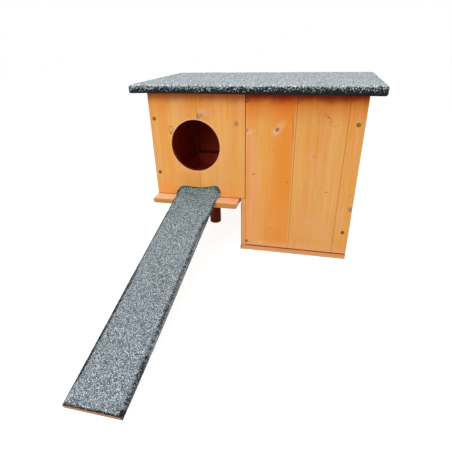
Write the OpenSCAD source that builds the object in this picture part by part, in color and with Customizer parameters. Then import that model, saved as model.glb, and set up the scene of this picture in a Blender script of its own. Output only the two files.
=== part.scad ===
// Duck house on a frame of battens: a raised room with a round entrance on
// the left, a nest room down to the ground on the right, a flat felted lid
// hinged along the back, and a felted ramp that folds up at the perch.
// Lengths are in millimetres. +Z is up and the front faces -Y. The origin is
// on the ground, under the middle of everything with the ramp let down.

/* [Walls] */
// Width of the first front board, at the left end
board_1_w = 151; // [120:1:180]
// Width of the second front board
board_2_w = 147; // [120:1:180]
// Width of the third front board, the first of the nest room
board_3_w = 145; // [110:1:180]
// Width of the fourth front board
board_4_w = 140; // [110:1:180]
// Width of the strip that closes the front's right end
corner_strip_w = 45; // [36:1:70]
// Thickness of every wall board
board_t = 14; // [11:0.5:18]
// Bevel along the long edges of the wall boards
board_bevel = 0.6; // [0.4:0.1:2]
// Gap between the front boards of the two rooms
panel_gap = 1.2; // [0.5:0.1:3]
// Gap between the wall boards' feet and the floors
foot_gap = 1.5; // [0.5:0.1:4]
// Depth of the body over its front and back boards
body_d = 385; // [330:1:460]
// Height of the walls' top edge above the ground
wall_top_z = 503; // [450:1:600]

/* [Frame] */
// Width of the upright posts
post_w = 34; // [28:1:50]
// Thickness of posts, rails and bearers
batten_t = 20; // [14:1:26]
// Height of the rails along the walls' tops and feet
rail_h = 44; // [30:1:55]
// How far the floor bearers start behind the front
bearer_setback = 70; // [40:1:85]

/* [Entrance] */
// Centre of the entrance from the body's left face
entrance_x = 141; // [125:1:160]
// Centre of the entrance above the ground
entrance_z = 342.5; // [320:0.5:360]
// Radius of the entrance
entrance_r = 77.5; // [50:0.5:85]

/* [Floors] */
// Height of the raised floor's upper face above the ground
raised_z = 181.5; // [140:0.5:200]
// Thickness of the raised floor
raised_floor_t = 17.5; // [12:0.5:24]
// Width of the front floor board, whose front part is the perch
perch_board_w = 143; // [136:1:170]
// How far the perch stands out in front of the wall
perch_out = 46.5; // [40:0.5:48]
// Gap between the perch board and the step panel
perch_gap = 5; // [2:0.5:12]
// How far the perch board stands out past the left wall
perch_end_lip = 1.5; // [0.5:0.5:4]
// Rounding of the perch's two front corners
perch_corner_r = 7; // [2:0.5:20]
// Thickness of the lower floor
lower_floor_t = 14; // [10:0.5:20]
// How far the lower floor stands out past the front and the step panel
floor_lip = 4; // [1:0.5:10]
// How far the lower floor stands out past the step panel
floor_end_lip = 1; // [0.5:0.5:4]

/* [Leg] */
// Radius of the leg
leg_r = 21.5; // [14:0.5:26]
// Centre of the leg from the body's left face
leg_x = 139; // [100:1:200]
// Centre of the leg behind the front
leg_y = 196; // [150:1:210]
// Bevel round the leg's foot
leg_bevel = 3; // [1:0.5:6]

/* [Roof] */
// Thickness of the roof boards
roof_board_t = 14; // [11:0.5:20]
// Thickness of the mineral felt
felt_t = 3; // [2:0.25:4]
// Overhang of the roof in front
roof_front = 45; // [30:0.5:45.5]
// Overhang of the roof on the left
roof_left = 36; // [30:1:60]
// Overhang of the roof on the right
roof_right = 38; // [30:1:60]
// Width of the felt's edge that is turned under the roof
felt_lip_w = 22; // [16:1:26]
// Rounding of the roof felt's upper edges
felt_edge_r = 6; // [3:0.5:10]
// Width of the battens across the roof's underside
roof_batten_w = 44; // [30:1:60]
// Distance of each roof batten's middle from the nearer end wall's face
roof_batten_inset = 160; // [120:1:200]
// Gap between the roof battens' ends and the top rails
roof_batten_gap = 6; // [3:0.5:12]

/* [Ramp] */
// Length of the ramp from the fold to its foot
ramp_len = 684; // [560:1:800]
// Width of the ramp over its felt
ramp_w = 134; // [110:1:136]
// Thickness of the ramp board
ramp_board_t = 9; // [7:0.5:14]
// Distance of the ramp board's upper end from the fold
ramp_board_gap = 6; // [5:0.5:14]
// Width of the felt flap on the perch
flap_w = 142; // [124:1:156]
// Height of the flap's edge that stands up the wall
flap_up = 34; // [24:0.5:50]
// Inner radius of the flap's bend at the wall
flap_bend_r = 10; // [3:0.5:14]
// Gap at the fold between flap and ramp
fold_gap = 0.3; // [0.2:0.05:0.6]

/* [Hinges] */
// Length of a roof hinge
hinge_w = 60; // [40:1:80]
// Distance of each hinge's middle from the nearer end wall's face
hinge_inset = 100; // [75:1:130]
// Thickness of the hinge leaves
leaf_t = 1.5; // [1:0.1:2]
// Height of the leaf on the back wall
wall_leaf_h = 30; // [20:1:40]
// Height of the leaf on the roof boards' edge
roof_leaf_h = 13; // [10:0.5:13.5]
// Outer radius of the hinge knuckles
knuckle_r = 3.5; // [3:0.1:4.5]
// Radius of the hinge pins
pin_r = 1.5; // [1:0.1:2]
// Running clearance round a pin
pin_gap = 0.05; // [0.03:0.01:0.09]
// Clearance round and between the knuckles
knuckle_gap = 0.3; // [0.2:0.05:0.6]
// Clearance of the roof felt's notches beside a hinge
hinge_notch_gap = 2; // [1:0.5:6]

/* [Screws and nails] */
// Radius of a wood screw's head
screw_head_r = 4.1; // [3.5:0.1:4.5]
// Radius of a wood screw's shank
screw_shank_r = 1.9; // [1.5:0.1:2.2]
// How deep a wood screw's head is sunk
screw_sink = 1.1; // [0.3:0.1:1.5]
// Length of a wood screw in the walls and floors
screw_len = 32; // [24:1:33]
// Length of the screws from the step panel into its bearer
bearer_screw_len = 31; // [24:1:32]
// Length of the screw that holds the leg
leg_screw_len = 60; // [45:1:80]
// Length of the screws that hold the roof battens
roof_screw_len = 30; // [26:1:31]
// Radius of a hinge screw's head
hinge_screw_head_r = 2.9; // [2.5:0.1:3.2]
// Radius of a hinge screw's shank
hinge_screw_shank_r = 1.5; // [1.2:0.1:1.7]
// Length of a hinge screw
hinge_screw_len = 20; // [14:1:24]
// Clearance round screws and nails in their holes
screw_gap = 0.1; // [0.05:0.01:0.2]
// Radius of a clout nail's head
clout_head_r = 4; // [3:0.25:5]
// Radius of a clout nail's shank
clout_shank_r = 1.3; // [1:0.1:1.6]
// Thickness of a clout nail's head
clout_head_t = 0.8; // [0.5:0.1:1.2]
// Length of a clout nail under its head
clout_len = 13; // [10:0.5:13.5]
// Clout nails along the roof's front
clouts_front = 8; // [4:1:12]
// Clout nails along each end of the roof
clouts_end = 5; // [3:1:8]
// Clout nails along the roof's back edge
clouts_back = 5; // [2:1:8]
// Lowest screw of the front's left column above the raised floor
left_screw_low = 73; // [60:1:90]
// Highest screw of the front's left column below the walls' top
left_screw_high = 82; // [60:1:90]
// Distance of the left column from the left face
left_screw_in = 14; // [12:1:22]
// Distance of the joint's screws from the joint
joint_screw_in = 4; // [3:0.5:12]
// First joint screw below the walls' top
joint_screw_1 = 27; // [20:1:40]
// Second joint screw below the walls' top
joint_screw_2 = 108; // [80:1:140]
// Lowest joint screw above the lower floor
joint_screw_3 = 16; // [12:1:40]
// Distance of the right column from the right face
right_screw_in = 18; // [12:1:22]
// Lowest screw of the right column above the lower floor
right_screw_low = 78; // [50:1:120]
// Highest screw of the right column below the walls' top
right_screw_high = 86; // [50:1:120]

/* [Hidden] */

$fn = 48;

// Colours
WOOD = [0.87, 0.60, 0.31];
WOOD_DEEP = [0.82, 0.52, 0.24];
WOOD_INNER = [0.72, 0.42, 0.20];
FELT_GREY = [0.52, 0.56, 0.58];
STEEL = [0.72, 0.70, 0.62];

// Body: everything below counts x from the left face, y from the front and z
// from the ground
front_x = [0, board_1_w, board_1_w + board_2_w, board_1_w + board_2_w + board_3_w,
           board_1_w + board_2_w + board_3_w + board_4_w,
           board_1_w + board_2_w + board_3_w + board_4_w + corner_strip_w];
step_x = front_x[2];
body_w = front_x[5];
lower_z = lower_floor_t;
inner_y = [board_t, body_d - board_t];
between_posts_y = [board_t + batten_t, body_d - board_t - batten_t];
panel_x = step_x - board_t;

// Post edges along x: the left post, the middle post beside the step, the right post
post_x = [[0, post_w], [step_x, step_x + post_w], [body_w - post_w, body_w]];
post_y = [[inner_y[0], between_posts_y[0]], [between_posts_y[1], inner_y[1]]];
post_z = [raised_z, lower_z, lower_z];

// Floors
perch_y = [-perch_out, perch_board_w - perch_out];
raised_middle_y = (perch_y[1] + body_d) / 2;
lower_floor_x = panel_x - floor_end_lip;
lower_floor_y = [-floor_lip, (body_d - floor_lip) / 3, (2 * body_d - floor_lip) / 3, body_d];
raised_under_z = raised_z - raised_floor_t;
bearer_x = [[board_t, board_t + batten_t], [panel_x - batten_t, panel_x]];
bearer_y = [bearer_setback, between_posts_y[1]];

// Roof: the lip of the felt hangs below the boards, level with the walls' top less felt_t
lip_z = wall_top_z - felt_t;
roof_z = [wall_top_z, wall_top_z + roof_board_t];
roof_top_z = roof_z[1] + felt_t;
felt_x = [-roof_left, body_w + roof_right];
felt_y = [-roof_front, body_d + felt_t];
roof_x = [felt_x[0] + felt_t, felt_x[1] - felt_t];
roof_y = [felt_y[0] + felt_t, body_d];
roof_board_w = (roof_y[1] - roof_y[0]) / 3;
roof_joint_y = [roof_y[0], roof_y[0] + roof_board_w, roof_y[1] - roof_board_w, roof_y[1]];
roof_batten_x = [roof_batten_inset, body_w - roof_batten_inset];
roof_batten_y = [between_posts_y[0] + roof_batten_gap, between_posts_y[1] - roof_batten_gap];
roof_batten_z = [wall_top_z - batten_t, wall_top_z];

// Hinges along the back: the pins lie level with the walls' top
hinge_x = [hinge_inset, body_w - hinge_inset];
pin_y = body_d + knuckle_r + knuckle_gap;
knuckle_w = hinge_w / 3;

// Ramp: the felt folds on a line just in front of the perch
fold_y = -perch_out - felt_t / 2 - fold_gap;
fold_z = raised_z + felt_t / 2;
ramp_under = felt_t / 2 + ramp_board_t;
ramp_slope = asin(fold_z / norm([ramp_len, ramp_under])) - atan(ramp_under / ramp_len);
ramp_foot_y = fold_y - ramp_len * cos(ramp_slope) - felt_t / 2 * sin(ramp_slope);

// The body's left front edge on the ground, seen from the origin
body_at = [-(felt_x[0] + felt_x[1]) / 2, -(ramp_foot_y + pin_y + knuckle_r) / 2, 0];

// Screws are [head's place, direction into the wood, length, kind]
WOOD_SCREW = [screw_head_r, screw_shank_r, screw_sink];
HINGE_SCREW = [hinge_screw_head_r, hinge_screw_shank_r, 0];
INTO_FRONT = [0, 1, 0];
INTO_BACK = [0, -1, 0];
INTO_LEFT = [1, 0, 0];
INTO_RIGHT = [-1, 0, 0];
DOWN = [0, 0, -1];
UP = [0, 0, 1];

function middle(pair) = (pair[0] + pair[1]) / 2;
function spread(lo, hi, count) = [for (i = [0:count - 1]) lo + (hi - lo) * i / (count - 1)];

left_column_z = [raised_z + left_screw_low, wall_top_z - left_screw_high];
joint_column_z = [wall_top_z - joint_screw_1, wall_top_z - joint_screw_2, lower_z + joint_screw_3];
right_column_z = [lower_z + right_screw_low, wall_top_z - right_screw_high];
FRONT_SCREWS = concat(
    [for (z = left_column_z) [[left_screw_in, 0, z], INTO_FRONT, screw_len, WOOD_SCREW]],
    [for (z = joint_column_z) [[step_x + joint_screw_in, 0, z], INTO_FRONT, screw_len, WOOD_SCREW]],
    [for (z = right_column_z) [[body_w - right_screw_in, 0, z], INTO_FRONT, screw_len, WOOD_SCREW]]);

BACK_SCREWS = [
    for (i = [0:2])
        for (z = spread(post_z[i] + right_screw_low, wall_top_z - right_screw_high, 3))
            [[middle(post_x[i]), body_d, z], INTO_BACK, screw_len, WOOD_SCREW]];

side_joint_y = middle(between_posts_y);
side_screw_y = [middle([between_posts_y[0], side_joint_y]), middle([side_joint_y, between_posts_y[1]])];
panel_joint_z = middle([lower_z, raised_z]);
bearer_z = [raised_under_z - batten_t, raised_under_z];
SIDE_SCREWS = concat(
    [for (y = side_screw_y, z = [raised_z + rail_h / 2, wall_top_z - rail_h / 2])
        [[0, y, z], INTO_LEFT, screw_len, WOOD_SCREW]],
    [for (y = side_screw_y, z = [lower_z + rail_h / 2, wall_top_z - rail_h / 2])
        [[body_w, y, z], INTO_RIGHT, screw_len, WOOD_SCREW]],
    [for (row = post_y, z = [middle([lower_z, panel_joint_z]), middle([panel_joint_z, bearer_z[0]])])
        [[panel_x, middle(row), z], INTO_LEFT, screw_len, WOOD_SCREW]],
    [for (y = side_screw_y)
        [[step_x, y, middle(bearer_z)], INTO_RIGHT, bearer_screw_len, WOOD_SCREW]]);

raised_floor_screw_y = [middle([bearer_y[0], perch_y[1]]), middle([perch_y[1], raised_middle_y]),
                        middle([raised_middle_y, bearer_y[1]])];
lower_rail_x = [step_x + post_w, body_w - post_w];
FLOOR_SCREWS = concat(
    [for (pair = bearer_x, y = raised_floor_screw_y)
        [[middle(pair), y, raised_z], DOWN, screw_len, WOOD_SCREW]],
    [for (x = spread(lower_rail_x[0] + rail_h, lower_rail_x[1] - rail_h, 2), row = post_y)
        [[x, middle(row), 0], UP, screw_len, WOOD_SCREW]],
    [for (x = [step_x + batten_t / 2, body_w - board_t - batten_t / 2])
        [[x, middle([lower_floor_y[1], lower_floor_y[2]]), 0], UP, screw_len, WOOD_SCREW]]);

LEG_SCREWS = [[[leg_x, leg_y, raised_z], DOWN, leg_screw_len, WOOD_SCREW]];

WALL_HINGE_SCREWS = [
    for (x = hinge_x, side = [-1, 1])
        [[x + side * knuckle_w, body_d + leaf_t, wall_top_z - wall_leaf_h / 2 - knuckle_r / 2],
         INTO_BACK, hinge_screw_len, HINGE_SCREW]];

HOUSE_SCREWS = concat(FRONT_SCREWS, BACK_SCREWS, SIDE_SCREWS, FLOOR_SCREWS, LEG_SCREWS,
                      WALL_HINGE_SCREWS);

ROOF_HINGE_SCREWS = [
    for (x = hinge_x, side = [-1, 1])
        [[x + side * knuckle_w, body_d + leaf_t, middle(roof_z)], INTO_BACK, hinge_screw_len,
         HINGE_SCREW]];

roof_screw_y = [middle([roof_batten_y[0], roof_joint_y[1]]), middle([roof_joint_y[1], roof_joint_y[2]]),
                middle([roof_joint_y[2], roof_batten_y[1]])];
ROOF_SCREWS = [
    for (x = roof_batten_x, y = roof_screw_y)
        [[x, y, roof_batten_z[0]], UP, roof_screw_len, WOOD_SCREW]];

lip_mid = felt_lip_w / 2 + felt_t / 2;
CLOUTS = concat(
    [for (x = spread(felt_x[0] + lip_mid, felt_x[1] - lip_mid, clouts_front))
        [[x, felt_y[0] + lip_mid, lip_z], UP]],
    [for (x = [felt_x[0] + lip_mid, felt_x[1] - lip_mid],
          y = spread(felt_y[0] + roof_board_w / 2, felt_y[1] - lip_mid, clouts_end))
        [[x, y, lip_z], UP]],
    [for (x = spread(hinge_x[0] + hinge_w, hinge_x[1] - hinge_w, clouts_back))
        [[x, felt_y[1], middle(roof_z)], INTO_BACK]]);

/* Placing */

// Puts what is modelled from the body's left front edge into the frame
module in_body() {
    translate(body_at) children();
}

// Puts what is modelled on the ramp into the frame: -y runs down the ramp
// from the fold, and the felt's middle is at z = 0
module in_ramp() {
    in_body() translate([entrance_x, fold_y, fold_z]) rotate([ramp_slope, 0, 0]) children();
}

// Turns a piece whose tip points down -z so that it points along direction d
module pointing(d) {
    turn = d[1] != 0 ? [90 * d[1], 0, 0] : d[0] != 0 ? [0, -90 * d[0], 0] : [90 + 90 * d[2], 0, 0];
    rotate(turn) children();
}

module at_fixing(s) {
    translate(s[0]) pointing(s[1]) children();
}

/* Fixings */

// A countersunk cross-head screw whose board's face is at z = 0
module screw(length, kind) {
    head_r = kind[0];
    shank_r = kind[1];
    sink = kind[2];
    neck = sink + head_r - shank_r;
    tip = 2 * shank_r;
    difference() {
        union() {
            translate([0, 0, -neck]) cylinder(r1 = shank_r, r2 = head_r, h = head_r - shank_r);
            translate([0, 0, tip - length]) cylinder(r = shank_r, h = length - tip - neck);
            translate([0, 0, -length]) cylinder(r1 = shank_r / 4, r2 = shank_r, h = tip);
        }
        for (turn = [0, 90])
            rotate([0, 0, turn])
                translate([-head_r * 0.55, -head_r * 0.1, -sink - head_r * 0.3])
                    cube([head_r * 1.1, head_r * 0.2, head_r]);
    }
}

module screw_hole(length, kind) {
    hole_r = kind[1] + screw_gap;
    top_r = kind[0] + kind[2] + screw_gap * sqrt(2);
    over = 1;
    union() {
        translate([0, 0, hole_r - top_r]) cylinder(r1 = hole_r, r2 = top_r + over, h = top_r - hole_r + over);
        translate([0, 0, -length - screw_gap]) cylinder(r = hole_r, h = length);
    }
}

// Lowest and highest corner of the space that a screw can need
function screw_lo(s) = [for (i = [0:2]) s[0][i] + min(0, s[1][i] * s[2]) - s[3][0] - s[3][2] - 1];
function screw_hi(s) = [for (i = [0:2]) s[0][i] + max(0, s[1][i] * s[2]) + s[3][0] + s[3][2] + 1];
function meets(s, lo, hi) =
    let (a = screw_lo(s), b = screw_hi(s))
        min([for (i = [0:2]) min(b[i] - lo[i], hi[i] - a[i])]) > 0;

// Takes the holes of the screws that reach the box lo to hi out of a piece
module drilled(lo, hi, screws) {
    difference() {
        children();
        for (s = screws)
            if (meets(s, lo, hi)) at_fixing(s) screw_hole(s[2], s[3]);
    }
}

module screw_group(screws) {
    color(STEEL) in_body() for (s = screws) at_fixing(s) screw(s[2], s[3]);
}

/* Timber */

// A plain sawn piece from lo to hi, drilled for the house's screws
module timber(lo, hi, shade) {
    color(shade) in_body() drilled(lo, hi, HOUSE_SCREWS) translate(lo) cube(hi - lo);
}

// A board on end: its show face is at y = 0, with both long edges bevelled
module upright_board(w, l) {
    linear_extrude(l)
        polygon([[0, board_t], [0, board_bevel], [board_bevel, 0], [w - board_bevel, 0],
                 [w, board_bevel], [w, board_t]]);
}

// A front board from x0 to x1, over the floor whose upper face is at floor_z
module front_board(x0, x1, floor_z) {
    z0 = floor_z + foot_gap;
    color(WOOD) in_body()
        drilled([x0, 0, z0], [x1, board_t, wall_top_z], HOUSE_SCREWS)
            translate([x0, 0, z0]) upright_board(x1 - x0, wall_top_z - z0);
}

// The entrance is cut through the first two front boards, its front edge eased
module entrance_cut() {
    over = 1;
    in_body() translate([entrance_x, 0, entrance_z]) rotate([-90, 0, 0]) {
        translate([0, 0, -over]) cylinder(r = entrance_r, h = board_t + 2 * over, $fn = 96);
        translate([0, 0, -over])
            cylinder(r1 = entrance_r + board_bevel + over, r2 = entrance_r, h = board_bevel + over, $fn = 96);
    }
}

module front_board_1() {
    difference() {
        front_board(front_x[0], front_x[1], raised_z);
        entrance_cut();
    }
}

module front_board_2() {
    difference() {
        front_board(front_x[1], front_x[2] - panel_gap, raised_z);
        entrance_cut();
    }
}

module front_board_3() {
    front_board(front_x[2], front_x[3], lower_z);
}

module front_board_4() {
    front_board(front_x[3], front_x[4], lower_z);
}

module front_corner_strip() {
    front_board(front_x[4], front_x[5], lower_z);
}

// Back boards: two over the raised room and two over the nest room
module back_board(x0, x1, floor_z) {
    z0 = floor_z + foot_gap;
    color(WOOD) in_body()
        drilled([x0, inner_y[1], z0], [x1, body_d, wall_top_z], HOUSE_SCREWS)
            translate([x0, body_d, z0]) mirror([0, 1, 0]) upright_board(x1 - x0, wall_top_z - z0);
}

// Side boards stand between the posts, their show faces level with the body's ends
module left_side_board(y0, y1) {
    z0 = raised_z + foot_gap;
    color(WOOD) in_body()
        drilled([0, y0, z0], [board_t, y1, wall_top_z], HOUSE_SCREWS)
            translate([0, y1, z0]) rotate([0, 0, -90]) upright_board(y1 - y0, wall_top_z - z0);
}

module right_side_board(y0, y1) {
    z0 = lower_z + foot_gap;
    color(WOOD) in_body()
        drilled([body_w - board_t, y0, z0], [body_w, y1, wall_top_z], HOUSE_SCREWS)
            translate([body_w, y0, z0]) rotate([0, 0, 90]) upright_board(y1 - y0, wall_top_z - z0);
}

module step_panel(z0, z1) {
    timber([panel_x, 0, z0], [step_x, body_d, z1], WOOD);
}

// The front floor board: its front part is the perch, with rounded corners
module perch_board() {
    lo = [-perch_end_lip, perch_y[0], raised_under_z];
    hi = [panel_x - perch_gap, perch_y[1], raised_z];
    size = hi - lo;
    r = perch_corner_r;
    color(WOOD_DEEP) in_body() drilled(lo, hi, HOUSE_SCREWS) translate(lo)
        linear_extrude(size[2]) {
            translate([0, r]) square([size[0], size[1] - r]);
            translate([r, 0]) square([size[0] - 2 * r, 2 * r]);
            for (x = [r, size[0] - r]) translate([x, r]) circle(r);
        }
}

module raised_floor_board(y0, y1) {
    timber([0, y0, raised_under_z], [panel_x, y1, raised_z], WOOD_INNER);
}

module lower_floor_board(i) {
    timber([lower_floor_x, lower_floor_y[i], 0], [body_w, lower_floor_y[i + 1], lower_z], WOOD_DEEP);
}

// Posts: i counts from the left, j is 0 in front and 1 at the back
module post(i, j) {
    timber([post_x[i][0], post_y[j][0], post_z[i]], [post_x[i][1], post_y[j][1], wall_top_z], WOOD_INNER);
}

// Rails between the posts of one wall, with their feet at the heights z0
module rails_along(j, z0) {
    for (i = [0, 1])
        timber([post_x[i][1], post_y[j][0], z0[i]], [post_x[i + 1][0], post_y[j][1], z0[i] + rail_h],
               WOOD_INNER);
}

// A rail along an end wall, from the front post to the back post
module rail_across(x0, z0) {
    timber([x0, between_posts_y[0], z0], [x0 + batten_t, between_posts_y[1], z0 + rail_h], WOOD_INNER);
}

top_rail_z = wall_top_z - rail_h;
end_rail_x = [board_t, body_w - board_t - batten_t];

module top_rails_ends() {
    for (x = end_rail_x) rail_across(x, top_rail_z);
}

module foot_rails_raised() {
    for (row = post_y)
        timber([post_x[0][1], row[0], raised_z], [post_x[1][0], row[1], raised_z + rail_h], WOOD_INNER);
    rail_across(end_rail_x[0], raised_z);
}

module foot_rails_lower() {
    for (row = post_y)
        timber([post_x[1][1], row[0], lower_z], [post_x[2][0], row[1], lower_z + rail_h], WOOD_INNER);
    rail_across(step_x, lower_z);
    rail_across(end_rail_x[1], lower_z);
}

// Bearers under the raised floor, set back from the front
module floor_bearers() {
    for (pair = bearer_x)
        timber([pair[0], bearer_y[0], bearer_z[0]], [pair[1], bearer_y[1], bearer_z[1]], WOOD_INNER);
}

// The round leg under the raised floor, with a pilot hole for its screw
module leg() {
    lo = [leg_x - leg_r, leg_y - leg_r, 0];
    hi = [leg_x + leg_r, leg_y + leg_r, raised_under_z];
    color(WOOD_DEEP) in_body() drilled(lo, hi, LEG_SCREWS) translate([leg_x, leg_y, 0]) {
        cylinder(r1 = leg_r - leg_bevel, r2 = leg_r, h = leg_bevel);
        translate([0, 0, leg_bevel]) cylinder(r = leg_r, h = raised_under_z - leg_bevel);
    }
}

/* Hinges */

// A knuckle from x0 to x1 along the pin, and the space that it turns in
module knuckle(x0, x1, r) {
    translate([x0, pin_y, wall_top_z]) rotate([0, 90, 0]) cylinder(r = r, h = x1 - x0);
}

// The three knuckles' ends along a hinge, from its middle
knuckle_end = [[-hinge_w / 2, -knuckle_w / 2 - knuckle_gap / 2],
               [-knuckle_w / 2 + knuckle_gap / 2, knuckle_w / 2 - knuckle_gap / 2],
               [knuckle_w / 2 + knuckle_gap / 2, hinge_w / 2]];

// A leaf from z0 to z1 with its own knuckles, cut clear of the others
module hinge_leaf(z0, z1, own, others) {
    difference() {
        union() {
            difference() {
                translate([-hinge_w / 2, body_d, z0]) cube([hinge_w, leaf_t, z1 - z0]);
                for (i = others)
                    knuckle(knuckle_end[i][0] - knuckle_gap, knuckle_end[i][1] + knuckle_gap,
                            knuckle_r + knuckle_gap);
            }
            for (i = own) knuckle(knuckle_end[i][0], knuckle_end[i][1], knuckle_r);
        }
        knuckle(-hinge_w, hinge_w, pin_r + pin_gap);
    }
}

module wall_hinge_leaves() {
    color(STEEL) in_body() for (x = hinge_x)
        drilled([x - hinge_w / 2, body_d, wall_top_z - wall_leaf_h], [x + hinge_w / 2, pin_y, wall_top_z],
                WALL_HINGE_SCREWS)
            translate([x, 0, 0]) hinge_leaf(wall_top_z - wall_leaf_h, wall_top_z, [0, 2], [1]);
}

module roof_hinge_leaves() {
    color(STEEL) in_body() for (x = hinge_x)
        drilled([x - hinge_w / 2, body_d, wall_top_z], [x + hinge_w / 2, pin_y, wall_top_z + roof_leaf_h],
                ROOF_HINGE_SCREWS)
            translate([x, 0, 0]) hinge_leaf(wall_top_z, wall_top_z + roof_leaf_h, [1], [0, 2]);
}

module hinge_pins() {
    color(STEEL) in_body() for (x = hinge_x) translate([x, 0, 0]) knuckle(-hinge_w / 2, hinge_w / 2, pin_r);
}

/* Roof */

// A round-headed clout nail whose head lies on the felt's face at z = 0
module clout() {
    cylinder(r = clout_head_r, h = clout_head_t);
    translate([0, 0, -clout_len]) cylinder(r = clout_shank_r, h = clout_len);
}

module clout_holes() {
    over = 1;
    for (c = CLOUTS)
        at_fixing(c) translate([0, 0, -clout_len - screw_gap])
            cylinder(r = clout_shank_r + screw_gap, h = clout_len + screw_gap + over);
}

module roof_board(i) {
    lo = [roof_x[0], roof_joint_y[i], roof_z[0]];
    hi = [roof_x[1], roof_joint_y[i + 1], roof_z[1]];
    color(WOOD_INNER) in_body() difference() {
        drilled(lo, hi, concat(ROOF_SCREWS, ROOF_HINGE_SCREWS)) translate(lo) cube(hi - lo);
        clout_holes();
    }
}

module roof_batten(x) {
    lo = [x - roof_batten_w / 2, roof_batten_y[0], roof_batten_z[0]];
    hi = [x + roof_batten_w / 2, roof_batten_y[1], roof_batten_z[1]];
    color(WOOD_INNER) in_body() drilled(lo, hi, ROOF_SCREWS) translate(lo) cube(hi - lo);
}

// A flat slab's outline from the side, with its two upper corners rounded
module slab_outline(width, height, r) {
    square([width, height - r]);
    translate([r, 0]) square([width - 2 * r, height]);
    for (x = [r, width - r]) translate([x, height - r]) circle(r);
}

// The felt over the roof: turned down round the edges, under the boards at the
// front and the ends, and notched round the hinges at the back
module roof_felt() {
    size = [felt_x[1] - felt_x[0], felt_y[1] - felt_y[0], roof_top_z - lip_z];
    over = 1;
    notch_w = hinge_w + 2 * hinge_notch_gap;
    color(FELT_GREY) in_body() difference() {
        translate([felt_x[0], felt_y[0], lip_z]) intersection() {
            translate([0, size[1], 0]) rotate([90, 0, 0]) linear_extrude(size[1])
                slab_outline(size[0], size[2], felt_edge_r);
            rotate([90, 0, 90]) linear_extrude(size[0]) slab_outline(size[1], size[2], felt_edge_r);
        }
        translate([roof_x[0], roof_y[0], roof_z[0]])
            cube([roof_x[1] - roof_x[0], roof_y[1] - roof_y[0], roof_board_t]);
        translate([felt_x[0] + felt_lip_w, felt_y[0] + felt_lip_w, lip_z - over])
            cube([size[0] - 2 * felt_lip_w, size[1], felt_t + over]);
        for (x = hinge_x)
            translate([x - notch_w / 2, body_d, lip_z]) cube([notch_w, felt_t + over, roof_board_t + felt_t]);
        clout_holes();
    }
}

module roof_clout_nails() {
    color(STEEL) in_body() for (c = CLOUTS) at_fixing(c) clout();
}

/* Ramp */

module ramp_board() {
    w = ramp_w - 2 * felt_t;
    color(WOOD_DEEP) in_ramp()
        translate([-w / 2, -ramp_len, -ramp_under]) cube([w, ramp_len - ramp_board_gap, ramp_board_t]);
}

// The ramp's felt: over the board and down its two long edges, and rolled
// round the line of the fold
module ramp_felt() {
    w = ramp_w - 2 * felt_t;
    color(FELT_GREY) in_ramp() {
        difference() {
            translate([-ramp_w / 2, 0, -ramp_under]) rotate([90, 0, 0]) linear_extrude(ramp_len)
                slab_outline(ramp_w, ramp_under + felt_t / 2, felt_t);
            translate([-w / 2, -ramp_len - felt_t, -ramp_under - felt_t])
                cube([w, ramp_len + 2 * felt_t, ramp_board_t + felt_t]);
            translate([-ramp_w, -ramp_board_gap, -ramp_under - felt_t])
                cube([2 * ramp_w, 2 * ramp_board_gap, ramp_board_t + felt_t]);
        }
        rotate([0, 90, 0]) cylinder(r = felt_t / 2, h = ramp_w - 2 * felt_t, center = true);
    }
}

// The felt flap that lies on the perch and turns up the wall above it
module perch_felt_flap() {
    r = flap_bend_r + felt_t;
    color(FELT_GREY) in_body()
        translate([entrance_x - flap_w / 2, 0, raised_z]) rotate([90, 0, 90]) linear_extrude(flap_w) {
            translate([-perch_out, 0]) square([perch_out - r, felt_t]);
            intersection() {
                translate([-r, r]) difference() {
                    circle(r);
                    circle(flap_bend_r);
                }
                translate([-r, 0]) square(r);
            }
            translate([-felt_t, r]) square([felt_t, flap_up - r]);
        }
}

front_board_1();
front_board_2();
front_board_3();
front_board_4();
front_corner_strip();
back_board(0, step_x / 2, raised_z);  // back_board_1
back_board(step_x / 2, step_x, raised_z);  // back_board_2
back_board(step_x, middle([step_x, body_w]), lower_z);  // back_board_3
back_board(middle([step_x, body_w]), body_w, lower_z);  // back_board_4
left_side_board(between_posts_y[0], side_joint_y);  // left_side_board_front
left_side_board(side_joint_y, between_posts_y[1]);  // left_side_board_back
right_side_board(between_posts_y[0], side_joint_y);  // right_side_board_front
right_side_board(side_joint_y, between_posts_y[1]);  // right_side_board_back
step_panel(lower_z, panel_joint_z);  // step_panel_lower
step_panel(panel_joint_z, raised_z);  // step_panel_upper
perch_board();
raised_floor_board(perch_y[1], raised_middle_y);  // raised_floor_board_middle
raised_floor_board(raised_middle_y, body_d);  // raised_floor_board_back
lower_floor_board(0);  // lower_floor_board_front
lower_floor_board(1);  // lower_floor_board_middle
lower_floor_board(2);  // lower_floor_board_back
post(0, 0);  // post_front_left
post(1, 0);  // post_front_middle
post(2, 0);  // post_front_right
post(0, 1);  // post_back_left
post(1, 1);  // post_back_middle
post(2, 1);  // post_back_right
rails_along(0, [top_rail_z, top_rail_z]);  // top_rails_front
rails_along(1, [top_rail_z, top_rail_z]);  // top_rails_back
top_rails_ends();
foot_rails_raised();
foot_rails_lower();
floor_bearers();
leg();
screw_group(LEG_SCREWS);  // leg_screw
screw_group(FRONT_SCREWS);  // front_screws
screw_group(BACK_SCREWS);  // back_screws
screw_group(SIDE_SCREWS);  // side_screws
screw_group(FLOOR_SCREWS);  // floor_screws
wall_hinge_leaves();
screw_group(WALL_HINGE_SCREWS);  // wall_hinge_screws
hinge_pins();
perch_felt_flap();
roof_board(0);  // roof_board_front
roof_board(1);  // roof_board_middle
roof_board(2);  // roof_board_back
roof_batten(roof_batten_x[0]);  // roof_batten_left
roof_batten(roof_batten_x[1]);  // roof_batten_right
roof_felt();
roof_clout_nails();
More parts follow.
